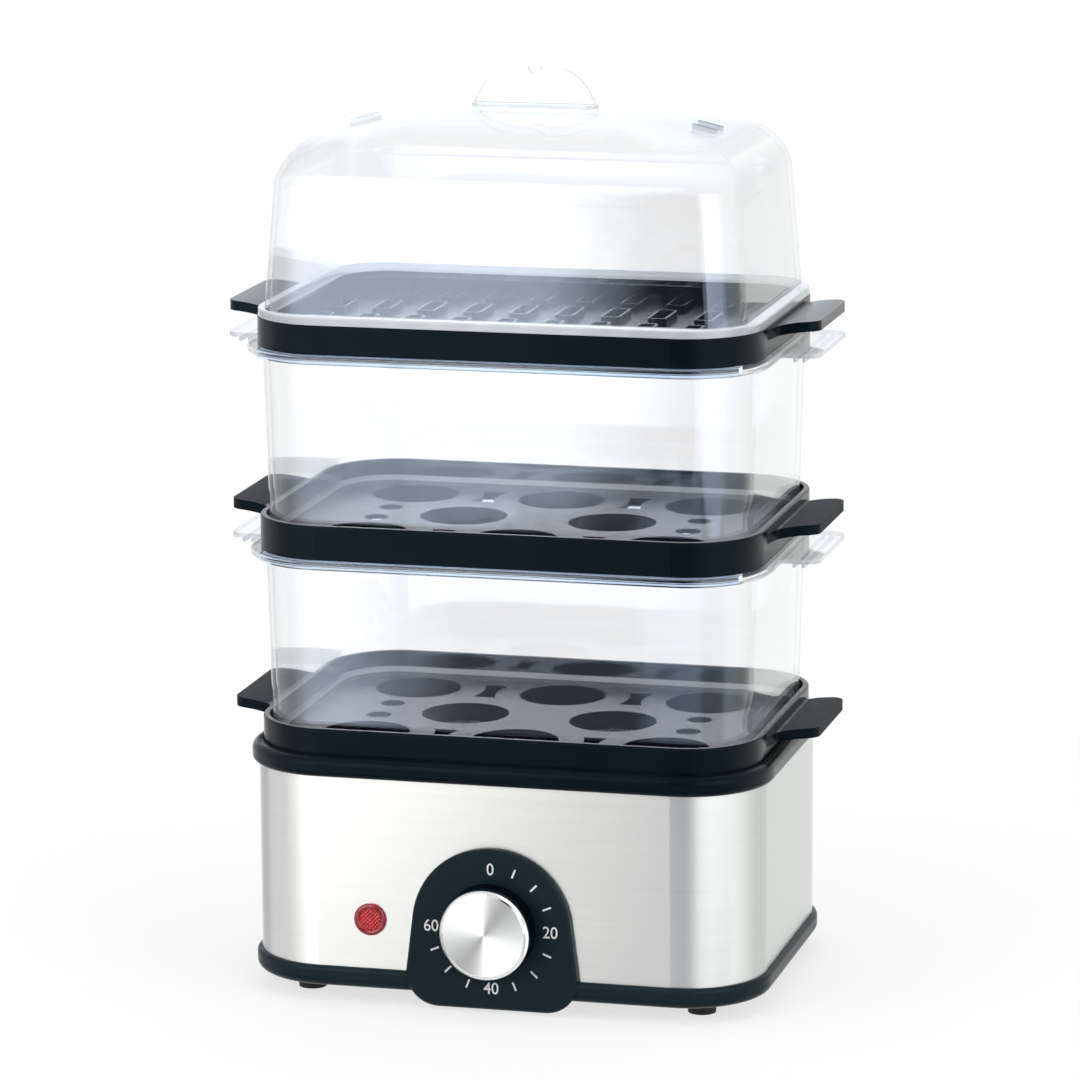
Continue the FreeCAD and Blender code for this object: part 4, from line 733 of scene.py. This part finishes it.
def card(name, azimuth, distance, left, right, low, high, tint, stops):
    """Upright card that only reflections see; stops are (metres along it, brightness)."""
    material, tree = new_material(name)
    place = add(tree, "ShaderNodeTexCoord", {}, {})
    along = add(tree, "ShaderNodeSeparateXYZ", {}, {"Vector": place.outputs["Object"]})
    share = add(tree, "ShaderNodeMapRange", {},
                {"Value": along.outputs["X"], "From Min": left, "From Max": right})
    ramp = add(tree, "ShaderNodeFloatCurve", {}, {"Value": share.outputs["Result"]})
    peak = max(level for reach, level in stops)
    curve = ramp.mapping.curves[0]
    while len(curve.points) < len(stops):
        curve.points.new(0.5, 0.5)
    for point, (reach, level) in zip(curve.points, stops):
        point.location = ((reach - left) / (right - left), level / peak)
        point.handle_type = "VECTOR"
    ramp.mapping.update()
    glow = add(tree, "ShaderNodeMath", {"operation": "MULTIPLY"}, {0: ramp.outputs["Value"], 1: peak})
    light = add(tree, "ShaderNodeEmission", {},
                {"Color": linear(tint), "Strength": glow.outputs["Value"]})
    add(tree, "ShaderNodeOutputMaterial", {}, {"Surface": light.outputs["Emission"]})
    mesh = bpy.data.meshes.new(name)
    mesh.from_pydata([(left, 0, low), (right, 0, low), (right, 0, high), (left, 0, high)],
                     [], [(0, 1, 2, 3)])
    mesh.materials.append(material)
    piece = bpy.data.objects.new(name, mesh)
    bpy.context.scene.collection.objects.link(piece)
    piece.matrix_world = (Matrix.Translation(round_the_object(azimuth, distance, 0))
                          @ Matrix.Rotation(math.radians(azimuth), 4, "Z"))
    piece.visible_camera = False
    piece.visible_diffuse = False
    piece.visible_shadow = False


# Azimuth in degrees, distance, height, width, how tall it is, and brightness.
soft_lamp("softbox_left", -40, 1.7, 0.75, 1.3, 1.5, 1.6)
soft_lamp("softbox_right", 60, 1.9, 0.75, 1.5, 1.5, 1.45)
soft_lamp("softbox_top", 180, 0.3, 1.9, 1.6, 1.6, 1.3)
# What the polished pieces mirror: broad lights on the left and right with a dark gap in front between
# them, dimmer bands below each, and softer grey and white cards at the sides and back. Each has its
# azimuth in degrees, its distance, its two ends sideways, its foot and top, its tint and its stops.
card("card_left_top", -40, 1.7, -0.95, 0.95, card_middle, card_high, "#fffefb",
     ((-0.95, 1.0), (-0.2, 2.3), (0.28, 3.6), (0.64, 3.9), (0.78, 4.0), (0.86, 3.8),
      (0.91, 1.4), (0.95, 0.1)))
card("card_left", -40, 1.7, -0.95, 0.95, card_low, card_middle, "#fffefb",
     ((-0.95, 0.9), (-0.2, 1.9), (0.28, 2.5), (0.64, 2.6), (0.78, 2.7), (0.86, 2.6),
      (0.91, 1.0), (0.95, 0.1)))
card("card_left_strip", -40, 1.7, -0.95, 0.93, card_strip, card_low, "#fffefb",
     ((-0.95, 0.9), (-0.2, 1.9), (0.28, 2.8), (0.68, 2.8), (0.77, 0.4), (0.93, 0.25)))
card("card_left_low", -40, 1.7, -0.95, 0.93, card_foot, card_strip, "#fffefb",
     ((-0.95, 0.8), (-0.4, 0.38), (0.7, 0.35), (0.84, 0.8), (0.93, 0.3)))
card("card_gap", 6, 2.0, -0.85, 0.65, card_low, 1.2, "#f4f8ff",
     ((-0.85, 0.08), (0.4, 0.08), (0.52, 0.6), (0.65, 1.4)))
card("card_gap_low", 6, 2.0, -0.85, 0.65, card_foot, card_low, "#f4f8ff",
     ((-0.85, 1.0), (0.65, 1.1)))
card("card_right_top", 55, 1.9, -0.95, 0.8, card_middle, card_high, "#fcffff",
     ((-0.95, 3.3), (-0.6, 3.2), (-0.3, 3.0), (0.35, 2.9), (0.8, 1.9)))
card("card_right", 55, 1.9, -0.95, 0.8, card_low, card_middle, "#fcffff",
     ((-0.95, 1.6), (-0.6, 2.2), (-0.3, 2.4), (0.35, 2.3), (0.8, 1.8)))
card("card_right_low", 55, 1.9, -0.95, 0.8, card_foot, card_low, "#fcffff",
     ((-0.95, 1.0), (-0.6, 0.65), (0.35, 0.65), (0.8, 1.0)))
card("card_side", 101, 1.95, -0.85, 0.7, card_foot, card_high, "#fbfffc",
     ((-0.85, 1.45), (0, 1.22), (0.7, 0.95)))
card("card_back_right", 145, 1.95, -0.85, 0.8, card_foot, card_high, "#fbfffc",
     ((-0.85, 0.95), (0.6, 0.85), (0.8, 1.35)))
card("card_grey", -118, 1.8, -0.85, 0.45, card_foot, card_high, "#fafcff",
     ((-0.85, 1.05), (-0.5, 0.78), (-0.3, 0.74), (0.25, 0.72), (0.45, 0.95)))
card("card_back", -162, 1.9, -0.6, 0.6, card_foot, card_high, "#f4f8ff",
     ((-0.6, 1.0), (-0.2, 1.4), (0.3, 1.4), (0.6, 1.2)))


def seen_directly(tree):
    """1 for rays from the camera, off gloss or through clear plastic, otherwise 0."""
    path = add(tree, "ShaderNodeLightPath", {}, {})
    first = add(tree, "ShaderNodeMath", {"operation": "MAXIMUM"},
                {0: path.outputs["Is Camera Ray"], 1: path.outputs["Is Glossy Ray"]})
    both = add(tree, "ShaderNodeMath", {"operation": "MAXIMUM"},
               {0: first.outputs["Value"], 1: path.outputs["Is Transmission Ray"]})
    return both.outputs["Value"]


world = bpy.data.worlds.new("white_studio")
bpy.context.scene.world = world
world.use_nodes = True
tree = world.node_tree
tree.nodes.clear()
level = add(tree, "ShaderNodeMapRange", {},
            {"Value": seen_directly(tree), "To Min": world_light, "To Max": world_shown})
sky = add(tree, "ShaderNodeBackground", {},
          {"Color": linear("#ffffff"), "Strength": level.outputs["Result"]})
add(tree, "ShaderNodeOutputWorld", {}, {"Surface": sky.outputs["Background"]})

# Matt white paper: it keeps the object's soft shadow close by and fades to plain white further out.
paper, tree = new_material("white_paper_floor")
place = add(tree, "ShaderNodeTexCoord", {}, {})
reach = add(tree, "ShaderNodeVectorMath", {"operation": "LENGTH"}, {0: place.outputs["Object"]})
far = add(tree, "ShaderNodeMapRange", {"interpolation_type": "SMOOTHSTEP"},
          {"Value": reach.outputs["Value"], "From Min": shadow_near, "From Max": shadow_far,
           "To Min": near_white})
fibres = add(tree, "ShaderNodeTexNoise", {},
             {"Vector": place.outputs["Object"], "Scale": per_mm(paper_fibre), "Detail": 2.0})
tooth = add(tree, "ShaderNodeBump", {},
            {"Height": fibres.outputs["Fac"], "Strength": 0.1, "Distance": fine_groove * mm})
matt = add(tree, "ShaderNodeBsdfPrincipled", {},
           {"Base Color": linear("#fcfcfb"), "Roughness": 0.9, "Specular IOR Level": 0.0,
            "Normal": tooth.outputs["Normal"]})
plain = add(tree, "ShaderNodeEmission", {},
            {"Color": linear("#ffffff"), "Strength": seen_directly(tree)})
blend = add(tree, "ShaderNodeMixShader", {},
            {0: far.outputs["Result"], 1: matt.outputs["BSDF"], 2: plain.outputs["Emission"]})
add(tree, "ShaderNodeOutputMaterial", {}, {"Surface": blend.outputs["Shader"]})
floor_mesh = bpy.data.meshes.new("floor")
floor_mesh.from_pydata([(-floor_reach, -floor_reach, 0), (floor_reach, -floor_reach, 0),
                        (floor_reach, floor_reach, 0), (-floor_reach, floor_reach, 0)],
                       [], [(0, 1, 2, 3)])
floor_mesh.materials.append(paper)
floor = bpy.data.objects.new("floor", floor_mesh)
bpy.context.scene.collection.objects.link(floor)
floor.visible_glossy = False

bpy.context.scene.view_settings.view_transform = "Standard"
